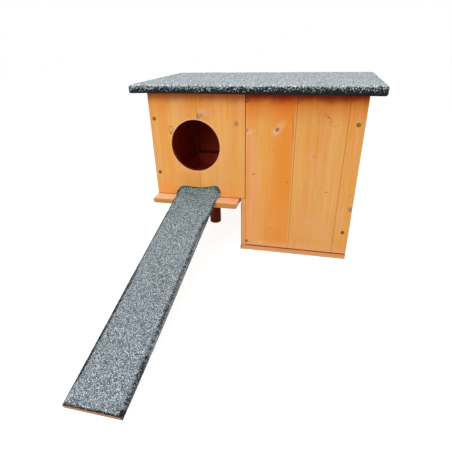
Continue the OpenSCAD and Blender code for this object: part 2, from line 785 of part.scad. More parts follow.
screw_group(ROOF_SCREWS);  // roof_screws
roof_hinge_leaves();
screw_group(ROOF_HINGE_SCREWS);  // roof_hinge_screws
ramp_board();
ramp_felt();
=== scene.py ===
import math

import bmesh
import bpy
import numpy as np
from mathutils import Matrix, Vector


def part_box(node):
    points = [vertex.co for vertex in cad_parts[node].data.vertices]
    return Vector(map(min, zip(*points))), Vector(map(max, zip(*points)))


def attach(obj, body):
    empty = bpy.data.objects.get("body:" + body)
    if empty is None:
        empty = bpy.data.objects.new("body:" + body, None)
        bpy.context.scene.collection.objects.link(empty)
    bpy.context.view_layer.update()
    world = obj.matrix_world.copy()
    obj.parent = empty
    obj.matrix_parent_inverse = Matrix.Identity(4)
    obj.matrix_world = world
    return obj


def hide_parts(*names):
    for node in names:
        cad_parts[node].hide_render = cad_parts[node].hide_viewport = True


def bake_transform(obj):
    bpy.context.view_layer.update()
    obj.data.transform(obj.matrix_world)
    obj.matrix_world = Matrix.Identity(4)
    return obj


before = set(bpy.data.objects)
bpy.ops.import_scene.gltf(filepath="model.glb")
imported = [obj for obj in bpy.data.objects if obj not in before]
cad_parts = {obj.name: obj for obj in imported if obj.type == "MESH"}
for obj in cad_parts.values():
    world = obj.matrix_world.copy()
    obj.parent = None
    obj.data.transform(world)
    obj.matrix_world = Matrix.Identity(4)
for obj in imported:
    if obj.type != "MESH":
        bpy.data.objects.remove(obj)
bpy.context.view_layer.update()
scene = bpy.context.scene
scene.view_settings.view_transform = "Standard"

# ------------ The studio
# A wide pale floor under an even white sky, lit by one broad lamp in front of
# the house and one above it. The camera stands in front, a little to the right.
CAMERA_AT = (0.20484, -0.93468, 0.62395)
CAMERA_HEADING = math.radians(14.703)
CAMERA_DOWN = math.radians(30.1255)
CAMERA_ROLL = math.radians(-1.4126)
SKY_LIGHT = 0.38
FLOOR_HALF = 20.0
FLOOR_GLOW = 0.885  # what the camera sees of the floor besides its lit colour
WHITE = (1, 1, 1, 1)


def new_object(name, data):
    """A new object in the scene that holds a mesh, a lamp or a camera."""
    item = bpy.data.objects.new(name, data)
    scene.collection.objects.link(item)
    return item


camera = new_object("camera", bpy.data.cameras.new("camera"))
scene.camera = camera
camera.location = CAMERA_AT
camera.rotation_mode = "QUATERNION"
camera.rotation_quaternion = (
    Matrix.Rotation(CAMERA_HEADING, 3, "Z")
    @ Matrix.Rotation(math.pi / 2 - CAMERA_DOWN, 3, "X")
    @ Matrix.Rotation(CAMERA_ROLL, 3, "Z")
).to_quaternion()
camera.data.sensor_width = 36
camera.data.lens = 29.45
camera.data.shift_x = -0.002
camera.data.shift_y = 0.06293


def paint(red, green, blue):
    """A screen colour from 0 to 255, as the linear values that a shader takes."""
    share = np.array([red, green, blue]) / 255
    linear = np.where(share > 0.04045, ((share + 0.055) / 1.055) ** 2.4, share / 12.92)
    return (*linear, 1.0)


def math_method(operation, swapped=False):
    """A method that adds a Math node of its value and any others."""

    def add_node(value, *others):
        return value.finish.maths(operation, *((*others, value) if swapped else (value, *others)))

    return add_node


class Value:
    """An output of a node. Sums with it add Math nodes, and a name in brackets is the node's other output."""

    __add__ = math_method("ADD")
    __sub__ = math_method("SUBTRACT")
    __rsub__ = math_method("SUBTRACT", swapped=True)
    __mul__ = math_method("MULTIPLY")
    __truediv__ = math_method("DIVIDE")
    __rtruediv__ = math_method("DIVIDE", swapped=True)
    __abs__ = math_method("ABSOLUTE")

    def __init__(self, finish, socket):
        self.finish = finish
        self.socket = socket

    def __getitem__(self, name):
        return Value(self.finish, self.socket.node.outputs[name])

    def rise(self, start, end):
        """0 up to start and 1 from end on, with a smooth step between them."""
        return self.finish.add("MapRange", {0: self, 1: start, 2: end}, interpolation_type="SMOOTHSTEP")

    def fall(self, start, end):
        """1 up to start and 0 from end on, with a smooth step between them."""
        return 1 - self.rise(start, end)


class Finish:
    """A node tree being filled in. Each method adds a node and gives one of its outputs."""

    def __init__(self, tree):
        self.tree = tree

    def feed(self, socket, value):
        """Links or sets a socket. A colour of three numbers is a screen colour, one of four is linear."""
        if isinstance(value, Value):
            self.tree.links.new(value.socket, socket)
        elif socket.type == "RGBA" and len(value) == 3:
            socket.default_value = paint(*value)
        else:
            socket.default_value = value

    def add(self, kind, sockets, out=0, **settings):
        """Adds a node whose sockets take plain numbers or the values of other nodes."""
        node = self.tree.nodes.new("ShaderNode" + kind)
        for name, value in settings.items():
            setattr(node, name, value)
        for key, value in sockets.items():
            self.feed(node.inputs[key], value)
        return Value(self, node.outputs[out]) if len(node.outputs) else node

    def maths(self, operation, *values):
        return self.add("Math", dict(enumerate(values)), operation=operation)

    def vectors(self, operation, *values, out=0):
        return self.add("VectorMath", dict(enumerate(values)), out, operation=operation)

    def mix(self, share, first, second, way="MIX"):
        """Share of the second colour over the first."""
        return self.add("Mix", {0: share, 6: first, 7: second}, 2, data_type="RGBA", blend_type=way)

    def noise(self, place, scale, seed=0.0, detail=2.0, out="Fac"):
        """Noise whose scale is one number, or one for each axis."""
        if isinstance(scale, tuple):
            place, scale = self.vectors("MULTIPLY", place, scale), 1
        sockets = {"Vector": place, "W": seed, "Scale": scale, "Detail": detail}
        return self.add("TexNoise", sockets, out, noise_dimensions="4D")

    def surface(self, **sockets):
        """Ends a material: a Principled shader whose sockets have _ for each space."""
        named = {name.replace("_", " "): value for name, value in sockets.items()}
        self.add("OutputMaterial", {"Surface": self.add("BsdfPrincipled", named)})


def fresh(item):
    """The emptied node tree of a new material or world."""
    item.use_nodes = True
    item.node_tree.nodes.clear()
    return Finish(item.node_tree)


def camera_sees(finish):
    """1 for rays from the camera, and for those that a gloss or a glass sends on."""
    path = finish.add("LightPath", {})
    seen = finish.maths("MAXIMUM", path["Is Camera Ray"], path["Is Glossy Ray"])
    return finish.maths("MAXIMUM", seen, path["Is Transmission Ray"])


sky = bpy.data.worlds.new("white_sky")
scene.world = sky
finish = fresh(sky)
lit = finish.add("Background", {"Color": WHITE, "Strength": SKY_LIGHT})
seen = finish.add("Background", {"Color": WHITE, "Strength": 1})
finish.add("OutputWorld", {"Surface": finish.add("MixShader", {0: camera_sees(finish), 1: lit, 2: seen})})

floor_mesh = bpy.data.meshes.new("floor")
floor_corners = [(-1, -1), (1, -1), (1, 1), (-1, 1)]
floor_mesh.from_pydata([(x * FLOOR_HALF, y * FLOOR_HALF, 0) for x, y in floor_corners], [], [(0, 1, 2, 3)])
floor = new_object("floor", floor_mesh)
floor_paint = bpy.data.materials.new("floor_paint")
finish = fresh(floor_paint)
seen = camera_sees(finish)
lit = finish.add("BsdfDiffuse", {"Color": finish.mix(seen, (0.8, 0.8, 0.8, 1), (0.3, 0.3, 0.3, 1))})
glow = finish.add("Emission", {"Color": WHITE, "Strength": seen * FLOOR_GLOW})
finish.add("OutputMaterial", {"Surface": finish.add("AddShader", {0: lit, 1: glow})})
floor_mesh.materials.append(floor_paint)


def lamp(name, place, aim, size, watts):
    """A square lamp of soft white light at place, turned towards aim."""
    light = bpy.data.lights.new(name, "AREA")
    light.size = size
    light.energy = watts
    holder = new_object(name, light)
    holder.location = place
    holder.rotation_mode = "QUATERNION"
    holder.rotation_quaternion = (Vector(aim) - Vector(place)).to_track_quat("-Z", "Y")


lamp("front_lamp", (-0.5, -2.3, 1.7), (0, 0.1, 0.25), 1.6, 42)
lamp("top_lamp", (0.1, 0.1, 2.6), (0, 0.2, 0.3), 2.0, 26)

# ------------ The front boards
# Four upright boards and a narrow strip of sawn softwood, stained honey orange
# and screwed to the posts behind them. The first two share the round entrance.
MM = 0.001
WALL_FOOT = Vector((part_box("front_board_1")[0].x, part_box("front_board_1")[0].y, 0))
STREAK_FADE = 25 * MM
# The rest is in millimetres, from the left foot of the front wall
BODY_W = (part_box("front_corner_strip")[1].x - WALL_FOOT.x) / MM
BODY_D = (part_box("back_board_1")[1].y - WALL_FOOT.y) / MM
WALL_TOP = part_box("front_board_4")[1].z / MM
RAISED_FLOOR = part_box("perch_board")[1].z / MM
STEP_X = (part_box("step_panel_upper")[0].x - WALL_FOOT.x) / MM
RAIL_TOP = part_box("foot_rails_raised")[1].z / MM
ENTRANCE_X = 141
ENTRANCE_Z = 342.5
ENTRANCE_R = 77.5


def new_group(name, takes, gives):
    """A shader node group whose sockets are named by kind, as (its tree being filled in, what it takes)."""
    tree = bpy.data.node_groups.new(name, "ShaderNodeTree")
    for kinds, in_out in ((takes, "INPUT"), (gives, "OUTPUT")):
        for kind, sockets in kinds.items():
            for socket in sockets.split(", "):
                tree.interface.new_socket(socket, in_out=in_out, socket_type="NodeSocket" + kind)
    finish = Finish(tree)
    return finish, Value(finish, tree.nodes.new("NodeGroupInput").outputs[0])


def closed_group(finish, **results):
    """The group's tree, with its results fed to what it gives."""
    sockets = finish.tree.nodes.new("NodeGroupOutput").inputs
    for name, value in results.items():
        finish.feed(sockets[name], value)
    return finish.tree


def softwood_group():
    """Sawn softwood: rings round the pith, pulled about by slow noise that is drawn out
    along the grain, with broad soft patches, late wood as the dark side of each ring, and fibre."""
    takes = {"Vector": "Place, Pith", "Float": "Seed, Ring, Bulge", "Color": "Pale, Mid, Deep"}
    wood, given = new_group("softwood", takes, {"Color": "Colour", "Float": "Roughness, Height"})
    place = wood.vectors("SUBTRACT", given["Place"], given["Pith"])
    drift = wood.noise(place, (6, 6, 1.3), given["Seed"], 2, "Color")
    drift = wood.vectors("SUBTRACT", drift, (0.5, 0.5, 0.5))
    drift = wood.vectors("MULTIPLY", drift, (0.022, 0.022, 0))
    flat = wood.vectors("ADD", wood.vectors("MULTIPLY", place, (1, 1, 0)), drift)
    radius = wood.vectors("LENGTH", flat, out="Value") + given["Bulge"]
    uneven = wood.add("TexNoise", {"W": radius * 55, "Scale": 1}, "Fac", noise_dimensions="1D")
    years = uneven * 3 + radius / given["Ring"]
    year = wood.maths("FRACT", years)
    strength = wood.add("TexWhiteNoise", {"W": wood.maths("FLOOR", years)}, "Value", noise_dimensions="1D")
    late = (year.rise(0.25, 0.85) - year.rise(0.87, 1)) * (strength * 0.8 + 0.2)
    seed = given["Seed"] + 7
    broad = wood.noise(given["Place"], (17, 17, 3), seed)
    narrow = wood.noise(given["Place"], (85, 85, 5), seed, 3)
    fibre = wood.noise(given["Place"], (900, 900, 22), seed)
    colour = wood.mix(broad.rise(0.3, 0.7), given["Pale"], given["Mid"])
    colour = wood.mix(narrow.rise(0.42, 0.78) * 0.3 + late * 0.3, colour, given["Deep"])
    hue = wood.noise(given["Place"], (24, 24, 5), given["Seed"]) * 0.03 + 0.485
    colour = wood.add("HueSaturation", {"Hue": hue, "Color": colour})
    shade = fibre * 0.12 + 0.94
    colour = wood.mix(1, colour, wood.add("CombineColor", {0: shade, 1: shade, 2: shade}), "MULTIPLY")
    return closed_group(wood, Colour=colour, Roughness=fibre * 0.2 + 0.46, Height=fibre * 0.5 + late * 0.4)


def mark_group():
    """One small mark on a board: an oval with a wobbly outline. It gives the oval itself, a thin
    ring on its outline, a soft spot with no outline, and how far it pushes the wood's rings aside."""
    takes = {"Vector": "Place", "Float": "Wobble, Across, Along, Half width, Half height, Tilt"}
    mark, given = new_group("mark", takes, {"Float": "Core, Rim, Haze, Bulge"})
    centre = mark.add("CombineXYZ", {0: given["Across"], 2: given["Along"]})
    away = mark.vectors("SUBTRACT", given["Place"], centre)
    away = mark.add("VectorRotate", {"Vector": away, "Angle": given["Tilt"]}, rotation_type="Y_AXIS")
    away = mark.add("SeparateXYZ", {0: away})
    wide = away["X"] / given["Half width"]
    high = away["Z"] / given["Half height"]
    ring = mark.maths("SQRT", wide * wide + high * high) + (given["Wobble"] * 0.5 - 0.25)
    push = mark.maths("EXPONENT", ring * ring * -0.3)
    return closed_group(mark, Core=ring.fall(0.75, 1.25), Rim=ring.rise(0.72, 0.92) * ring.fall(1, 1.25),
                        Haze=ring.fall(0, 1.9), Bulge=push * (given["Half width"] * 0.5))


def streak_group():
    """A streak of another tone that runs with the grain between two heights, with wandering soft edges."""
    takes = {"Vector": "Place", "Float": "Across, Half width, Low, High"}
    mark, given = new_group("streak", takes, {"Float": "Share"})
    place = mark.add("SeparateXYZ", {0: given["Place"]})
    wander = (mark.noise(given["Place"], (30, 0, 9), given["Across"], 3) - 0.5) * (given["Half width"] * 2)
    side = abs(place["X"] - given["Across"] + wander) / given["Half width"]
    low = (place["Z"] - given["Low"]).rise(-STREAK_FADE, STREAK_FADE)
    high = (given["High"] - place["Z"]).rise(-STREAK_FADE, STREAK_FADE)
    return closed_group(mark, Share=side.fall(0.1, 1.5) * (low * high))


def zone_group():
    """Where the house's colour differs, with Place counted from the left foot of the front wall: the rooms
    inside in painted shade, with a painted shadow over the back rail; outside, bands of painted shade
    under the roof with a painted shadow just under its edge; the bore of the entrance in painted shade
    and a painted highlight on the rim round it; and the step's darker arris."""
    gives = {"Float": "Indoors, Dry, Dirty, Seam, Bore, Rim, Arris, Damp"}
    zone, given = new_group("stain_and_shade_zones", {"Vector": "Place"}, gives)
    place = zone.add("SeparateXYZ", {0: zone.vectors("MULTIPLY", given["Place"], (1000, 1000, 1000))})
    x, y, z = (place[letter] for letter in "XYZ")
    near_end = zone.maths("MINIMUM", x, BODY_W - x)
    near_face = zone.maths("MINIMUM", near_end, zone.maths("MINIMUM", y, BODY_D - y))
    raised = z.rise(RAISED_FLOOR - 10, RAISED_FLOOR - 7)
    lower = x.rise(STEP_X + 5, STEP_X + 8) * z.rise(6, 9)
    within = near_face.rise(5.5, 8.5) * zone.maths("MAXIMUM", raised, lower)
    over_rail = abs(z - (RAIL_TOP + 3)).fall(1, 9)
    by_back = y.rise(BODY_D - 20, BODY_D - 16) * within
    skin = near_face.fall(1, 3) * z.fall(WALL_TOP - 1, WALL_TOP - 0.3)
    depth = WALL_TOP - z
    ragged = depth + (zone.noise(given["Place"], 24, 4) * 24 - 12)
    away_x = x - ENTRANCE_X
    away_z = z - ENTRANCE_Z
    radius = zone.maths("SQRT", away_x * away_x + away_z * away_z)
    upright = (abs(away_z) / radius).rise(0.25, 0.75)
    right = (away_x / radius).rise(0.7, 1) * 0.4
    rim = radius.fall(ENTRANCE_R + 1, ENTRANCE_R + 7) * y.fall(0.3, 1)
    arris = abs(x - STEP_X).fall(2, 3.2) * z.fall(RAISED_FLOOR - 20, RAISED_FLOOR - 10)
    return closed_group(
        zone,
        Indoors=within * z.fall(WALL_TOP + 7, WALL_TOP + 9),
        Damp=over_rail * by_back,
        Seam=skin * depth.fall(10, 13.5),
        Dry=skin * ragged.fall(6, 95),
        Dirty=skin * ragged.fall(14, 39),
        Bore=radius.fall(ENTRANCE_R + 1, ENTRANCE_R + 2) * y.rise(0.6, 2) * y.fall(14, 15),
        Rim=rim * zone.maths("MAXIMUM", upright, right),
        Arris=arris * y.fall(2, 4),
    )


SOFTWOOD = softwood_group()
MARK = mark_group()
STREAK = streak_group()
ZONES = zone_group()


def honey(red=0, green=0, blue=0):
    """The stain's pale, mid and deep tone, shifted by so much."""
    tones = ((240, 177, 103), (235, 163, 80), (218, 134, 50))
    return [(tone[0] + red, tone[1] + green, tone[2] + blue) for tone in tones]


# Stains of four numbers are linear and multiply what is under them, those of three cover it. The ones for
# the rooms, the eaves and the bore are painted shade, those for the seam and the rail painted shadow, and the
# rim's a painted highlight.
ROOM_SHADE = (0.84, 0.56, 0.46, 1)
CORNER_SHADE = (0.68, 0.2, 0.28, 1)
ENTRANCE_LIT_SHADE = (0.92, 0.24, 0.32, 1)
EAVES_SHADE = (0.88, 0.45, 0.07, 1)
EAVES_DEEP_SHADE = (0.38, 0.115, 0.035, 1)
RAIL_SHADOW = (44, 8, 4)
SEAM_SHADOW = (30, 16, 8)
BORE_SHADE = (150, 46, 8)
RIM_HIGHLIGHT = (245, 184, 144)
END_STAIN = (160, 110, 60)
ARRIS_DARK = (120, 90, 50)
DARK_KNOT = (118, 70, 34)
GREY_KNOT = (168, 130, 102)
TAN_KNOT = (206, 152, 100)
ROSE = (236, 166, 122)
BRIGHT = (240, 148, 62)
YELLOW = (232, 170, 76)
BISCUIT = (230, 172, 104)
RUST = (205, 125, 60)
OLIVE = (200, 146, 70)
SCREW_STAIN = (70, 50, 25)
RESIN = (206, 146, 86)


def laid(across, grain):
    """The turn that brings a board's width to x and its grain to z, for a Mapping node."""
    width, length = (Vector([float(axis == letter) for letter in "xyz"]) for axis in (across, grain))
    return Matrix((width, length.cross(width), length))


def softwood_finish(name, low, high, seed, across="x", grain="z", tones=honey(), marks=(), streaks=(),
                    start=None, ring=5.5, pith=(20, 70), eaves=(0.45, 0.7), front_tone=None,
                    indoors=ROOM_SHADE):
    """A board's own softwood finish. A mark is (kind, across, along, half width, half height, colour, share,
    tilt in degrees if any), a streak is (across, half width, low, high, colour, share), and both are in
    millimetres from start, or from the middle of the board. The kinds are knot, ring, spot and haze. eaves
    has the shares of the two bands of painted shade under the roof, front_tone colours an edge that faces
    the front, and indoors is the painted shade of what lies inside the rooms."""
    turn = laid(across, grain)
    middle = turn @ ((low + high) / 2)
    start = middle if start is None else turn @ start
    material = bpy.data.materials.new(name)
    wood = fresh(material)
    where = wood.add("TexCoord", {}, "Object")
    place = wood.add("Mapping", {"Vector": where, "Rotation": turn.to_euler("XYZ"), "Location": -start})
    wobble = wood.noise(place, 160)
    shapes = []
    bulge = 0.0
    for kind, x, z, half_width, half_height, tone, share, *tilt in marks:
        sockets = {"Place": place, "Wobble": wobble, "Across": x * MM, "Along": z * MM,
                   "Half width": half_width * MM, "Half height": half_height * MM,
                   "Tilt": math.radians(sum(tilt))}
        shape = wood.add("Group", sockets, node_tree=MARK)
        if kind == "knot":
            bulge = shape["Bulge"] + bulge
        shapes.append((kind, shape, tone, share))
    centre = middle - start + Vector((pith[0] * MM, pith[1] * MM, 0))
    sockets = {"Place": place, "Pith": centre, "Seed": float(seed), "Ring": ring * MM, "Bulge": bulge,
               "Pale": tones[0], "Mid": tones[1], "Deep": tones[2]}
    body = wood.add("Group", sockets, "Colour", node_tree=SOFTWOOD)
    colour = body
    for x, half_width, bottom, top, tone, share in streaks:
        sockets = {"Place": place, "Across": x * MM, "Half width": half_width * MM, "Low": bottom * MM,
                   "High": top * MM}
        colour = wood.mix(wood.add("Group", sockets, node_tree=STREAK) * (0.75 * share), colour, tone)
    for kind, shape, tone, share in shapes:
        if kind == "knot":
            colour = wood.mix(shape["Haze"] * (0.4 * share), colour, tones[0])
        part = {"knot": "Core", "ring": "Rim", "spot": "Core", "haze": "Haze"}[kind]
        colour = wood.mix(shape[part] * share, colour, tone)
        if kind == "knot":
            colour = wood.mix(shape["Rim"] * (0.5 * share), colour, DARK_KNOT)
    along_grain = wood.vectors("DOT_PRODUCT", where["Normal"], turn.row[2], out="Value")
    colour = wood.mix(abs(along_grain).rise(0.8, 0.95) * 0.2, colour, END_STAIN)
    if front_tone:
        facing = wood.vectors("DOT_PRODUCT", where["Normal"], (0, -1, 0), out="Value")
        colour = wood.mix(facing.rise(0.3, 0.9) * 0.85, colour, front_tone)
    from_foot = wood.vectors("SUBTRACT", where, WALL_FOOT)
    zones = wood.add("Group", {"Place": from_foot}, node_tree=ZONES)
    # Most of these are painted: shade under the roof with a shadow at its top, shade inside the rooms with a
    # shadow over the back rail, and at the entrance shade in the bore and a highlight on its rim.
    stains = [("Dry", eaves[0], EAVES_SHADE), ("Dirty", eaves[1], EAVES_DEEP_SHADE), ("Seam", eaves[1], SEAM_SHADOW),
              ("Arris", 0.6, ARRIS_DARK), ("Indoors", 1, indoors), ("Damp", 0.7, RAIL_SHADOW)]
    if name.startswith(("front_board_1", "front_board_2")):
        stains += [("Rim", 0.65, RIM_HIGHLIGHT), ("Bore", 1, BORE_SHADE)]
    for zone, share, stain in stains:
        colour = wood.mix(zones[zone] * share, colour, stain, "MULTIPLY" if len(stain) == 4 else "MIX")
    bump = wood.add("Bump", {"Strength": 0.5, "Distance": 0.0004, "Height": body["Height"]})
    wood.surface(Base_Color=colour, Roughness=body["Roughness"], Normal=bump, Specular_IOR_Level=0.15)
    return material


def coat(material, *nodes):
    """Gives CAD nodes one material in place of their own."""
    for node in nodes:
        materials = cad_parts[node].data.materials
        materials.clear()
        materials.append(material)


def stain_board(node, seed, **more):
    """Gives a CAD board its own softwood finish."""
    coat(softwood_finish(node + "_stain", *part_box(node), seed, **more), node)


def read_points(mesh):
    points = np.zeros(len(mesh.vertices) * 3)
    mesh.vertices.foreach_get("co", points)
    return points.reshape(-1, 3)


def head_centres(node, axis, face, apart=9 * MM):
    """The middles of the screw heads of a node that lie within 2 mm of a face: of the points that are left,
    those near the first one are one head, again and again."""
    points = read_points(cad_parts[node].data)
    points = points[np.abs(points[:, axis] - face) < 2 * MM]
    centres = []
    while len(points):
        near = np.linalg.norm(points - points[0], axis=1) < apart
        centres.append((points[near].min(0) + points[near].max(0)) / 2)
        points = points[~near]
    return centres


# What each front board shows, with x from the wall's left end and z from the ground: the seed of its
# grain, where its pith is, its tones, its marks and its streaks
FRONT_LOOKS = {}
FRONT_LOOKS["front_board_1"] = (3, (60, 90), honey(), [
    ("ring", 65.5, 391, 6.5, 10, (160, 108, 50), 0.75), ("spot", 64, 378.6, 6, 1.4, DARK_KNOT, 0.9, -38),
    ("haze", 30, 200, 17, 22, (243, 155, 76), 0.8), ("haze", 70, 195, 12, 20, BRIGHT, 0.6),
    ("spot", 150.4, 340, 0.9, 900, (206, 128, 56), 0.5), ("haze", 112, 236, 44, 20, (226, 144, 56), 0.45),
], [
    (13, 9, 180, 505, BISCUIT, 0.7), (43, 13, 270, 505, BRIGHT, 0.5), (62, 9, 250, 330, BRIGHT, 0.5),
    (96, 26, 420, 500, ROSE, 0.5), (46, 2.5, 205, 262, YELLOW, 0.8), (53, 2, 195, 250, YELLOW, 0.7),
])
FRONT_LOOKS["front_board_2"] = (8, (-30, 110), honey(), [
    ("haze", 160, 441, 20, 10, (228, 182, 136), 0.6), ("knot", 160, 430, 15, 7.5, (226, 168, 124), 0.4, -16),
    ("spot", 160, 430, 12, 5.5, (186, 142, 92), 0.85, 25),
    ("spot", 153, 429, 0.9, 11, (92, 70, 30), 0.85, -4), ("haze", 183, 443, 12, 10, ROSE, 0.7),
    ("haze", 270.8, 412, 5, 6, (160, 114, 74), 0.95),
    # The next two dark dashes are painted shadow of the felt flap's raised corner on the wall.
    ("spot", 210.2, 210.7, 5.6, 0.9, (90, 50, 30), 0.9, -53),
    ("spot", 216.8, 199.2, 8, 0.9, (90, 50, 30), 0.85, -66),
    ("spot", 151.4, 340, 0.8, 900, (206, 132, 62), 0.4), ("spot", 297.4, 340, 0.9, 900, (172, 98, 36), 0.7),
    ("spot", 297.5, 221, 1.2, 6, (188, 158, 60), 0.8),
], [
    (251, 2, 440, 505, YELLOW, 0.7), (256, 1.5, 440, 505, BISCUIT, 0.7),
    (245, 1.2, 430, 505, honey()[2], 0.7), (222, 34, 190, 270, BISCUIT, 0.7),
    (285, 12, 190, 400, BISCUIT, 0.6), (240, 30, 240, 400, BISCUIT, 0.5),
])
FRONT_LOOKS["front_board_3"] = (12, (50, 80), honey(-2, -2, -3), [
    ("haze", 414, 260, 40, 900, (232, 140, 46), 0.85), ("haze", 387, 392, 10, 12, ROSE, 0.9, -30),
    ("haze", 386, 393, 7, 5, (244, 208, 158), 0.6), ("haze", 401, 409, 9, 14, (232, 176, 100), 0.9, -30),
    ("knot", 390.5, 398.5, 4.2, 6.5, (158, 116, 84), 0.95, -38), ("haze", 392.7, 411.5, 5, 5, ROSE, 0.9),
    ("spot", 407, 398, 3, 1, RUST, 0.6), ("haze", 309, 390, 9, 6, (238, 194, 152), 0.6),
    ("spot", 299.7, 396, 0.8, 4.5, DARK_KNOT, 0.5), ("haze", 347, 329, 5, 50, YELLOW, 0.7, -11),
    ("spot", 434.5, 407, 2.2, 42, (214, 120, 42), 0.7, 4), ("spot", 382, 345, 4, 1.2, RUST, 0.7, 5),
    ("spot", 382.5, 337, 4, 1.2, RUST, 0.6, 5), ("spot", 373.8, 267.6, 2.5, 1, RUST, 0.6),
    ("spot", 374.2, 256.6, 2.5, 1, RUST, 0.6), ("spot", 324, 265, 4.5, 1.5, DARK_KNOT, 0.9, 20),
    ("haze", 365, 230, 4, 12, BRIGHT, 0.8, -10), ("spot", 428.5, 246, 1.8, 2.2, (160, 88, 40), 0.9),
    ("haze", 381, 98.4, 8, 8, ROSE, 0.55), ("spot", 381.4, 88, 1.7, 1.6, DARK_KNOT, 0.8),
    ("haze", 350.7, 27, 3.5, 8, (236, 204, 160), 0.9), ("spot", 298.7, 340, 0.8, 900, (172, 98, 36), 0.7),
    ("spot", 440.4, 340, 1.2, 900, (238, 190, 126), 0.6),
    ("spot", 442.5, 340, 0.9, 900, (186, 136, 72), 0.85), ("haze", 408, 108, 34, 60, (232, 160, 84), 0.5),
], [
    (322, 20, 40, 390, ROSE, 0.5), (316, 18, 395, 505, BRIGHT, 0.6), (402, 11, 360, 450, YELLOW, 0.35),
])
FRONT_LOOKS["front_board_4"] = (21, (-45, 120), honey(-6, -3, 0), [
    ("spot", 528.3, 435, 2.6, 2.6, (176, 116, 50), 0.8), ("ring", 528.3, 435, 3, 3, (110, 64, 16), 0.95),
    ("spot", 533, 432.6, 4.5, 1.1, (150, 92, 36), 0.8, -33), ("haze", 522, 443, 6, 6, RUST, 0.5),
    ("haze", 536, 422, 6, 7, RUST, 0.4), ("spot", 550.5, 413, 8, 1.1, RUST, 0.8, 5),
    ("haze", 501, 327, 5, 3.5, RUST, 0.8), ("haze", 491.5, 323, 10, 10, ROSE, 0.5),
    ("haze", 546, 228, 6, 5, ROSE, 0.6), ("spot", 546, 221.3, 4, 1.3, DARK_KNOT, 1.0),
    ("haze", 550.7, 208.6, 4, 6, BRIGHT, 0.7), ("haze", 502, 122, 8, 11, ROSE, 0.4),
    ("spot", 502, 130.4, 2, 2.5, (176, 106, 66), 0.9), ("spot", 496, 464, 1, 22, OLIVE, 0.7),
    ("spot", 501.8, 429, 1, 14, OLIVE, 0.7, 6), ("spot", 494, 278, 1, 20, OLIVE, 0.6),
    ("spot", 515.5, 251, 1, 20, OLIVE, 0.6), ("spot", 516.4, 178, 1, 25, OLIVE, 0.6),
    ("spot", 517, 67, 1, 22, OLIVE, 0.6), ("spot", 443.6, 340, 0.8, 900, (186, 136, 72), 0.7),
    ("spot", 582.4, 340, 0.9, 900, (198, 122, 48), 0.6), ("haze", 505, 110, 60, 60, (228, 172, 108), 0.45),
    ("haze", 510, 460, 70, 26, (220, 164, 84), 0.4),
], [
    (460, 16, 15, 505, YELLOW, 0.35), (512, 1.6, 280, 400, YELLOW, 0.8), (520, 12, 20, 300, BISCUIT, 0.5),
    (507, 14, 250, 330, ROSE, 0.4), (560, 18, 40, 120, ROSE, 0.4), (541, 8, 400, 450, BRIGHT, 0.3),
])
FRONT_LOOKS["front_corner_strip"] = (29, (30, 60), honey(-7, -5, -6), [
    ("spot", 592, 245, 1.6, 1.5, (176, 106, 52), 0.9), ("spot", 617, 216, 3.4, 1.4, (190, 98, 66), 0.9, 45),
    ("knot", 622, 171, 4.5, 7, GREY_KNOT, 0.95, -8), ("haze", 606, 320, 2.5, 44, BRIGHT, 0.8, 8),
    ("spot", 583.6, 340, 0.8, 900, (198, 122, 48), 0.6),
], [
    (594, 5, 370, 505, BRIGHT, 0.6), (613, 8, 270, 400, ROSE, 0.5), (604, 3.5, 160, 340, YELLOW, 0.5),
    (600, 10, 120, 180, ROSE, 0.5), (592, 5, 180, 370, BISCUIT, 0.4),
])
SCREW_HEADS = [(centre - np.array(WALL_FOOT)) / MM for centre in head_centres("front_screws", 1, WALL_FOOT.y)]
RESIN_HEAD = next(head for head in SCREW_HEADS if 390 < head[2] < 400)  # the joint's middle one
# Along the foot of the lower boards: a paler band, a dark line that is painted shadow in the gap over the
# floor board, and three nail heads.
FOOT_MARKS = [("haze", 460, 12, 900, 22, (238, 172, 120), 0.8),
              ("spot", 460, 15.2, 900, 2.2, (110, 30, 6), 1.0)]
FOOT_MARKS += [("spot", x, z, 1.5, 1.5, DARK_KNOT, 0.9) for x, z in ((351, 17.5), (440, 18), (583.5, 18.5))]
for node, (seed, pith, tones, marks, streaks) in FRONT_LOOKS.items():
    left, right = ((corner.x - WALL_FOOT.x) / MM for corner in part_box(node))
    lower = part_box(node)[0].z < 100 * MM
    stains = [("spot", x, z, 5.8, 5.8, RESIN if z == RESIN_HEAD[2] else SCREW_STAIN, 0.85)
              for x, _, z in SCREW_HEADS if left < x < right]
    stain_board(node, seed, tones=tones, pith=pith, start=WALL_FOOT, streaks=streaks,
                marks=marks + stains + (FOOT_MARKS if lower else []), eaves=(1, 1) if lower else (0.4, 0.6))

# ------------ The back, the ends and the step panel
# Upright boards of the same stained softwood on the back and on both ends, and
# two level ones in the step beside the open space under the raised room.
KNOT_SPACING = 260  # mm


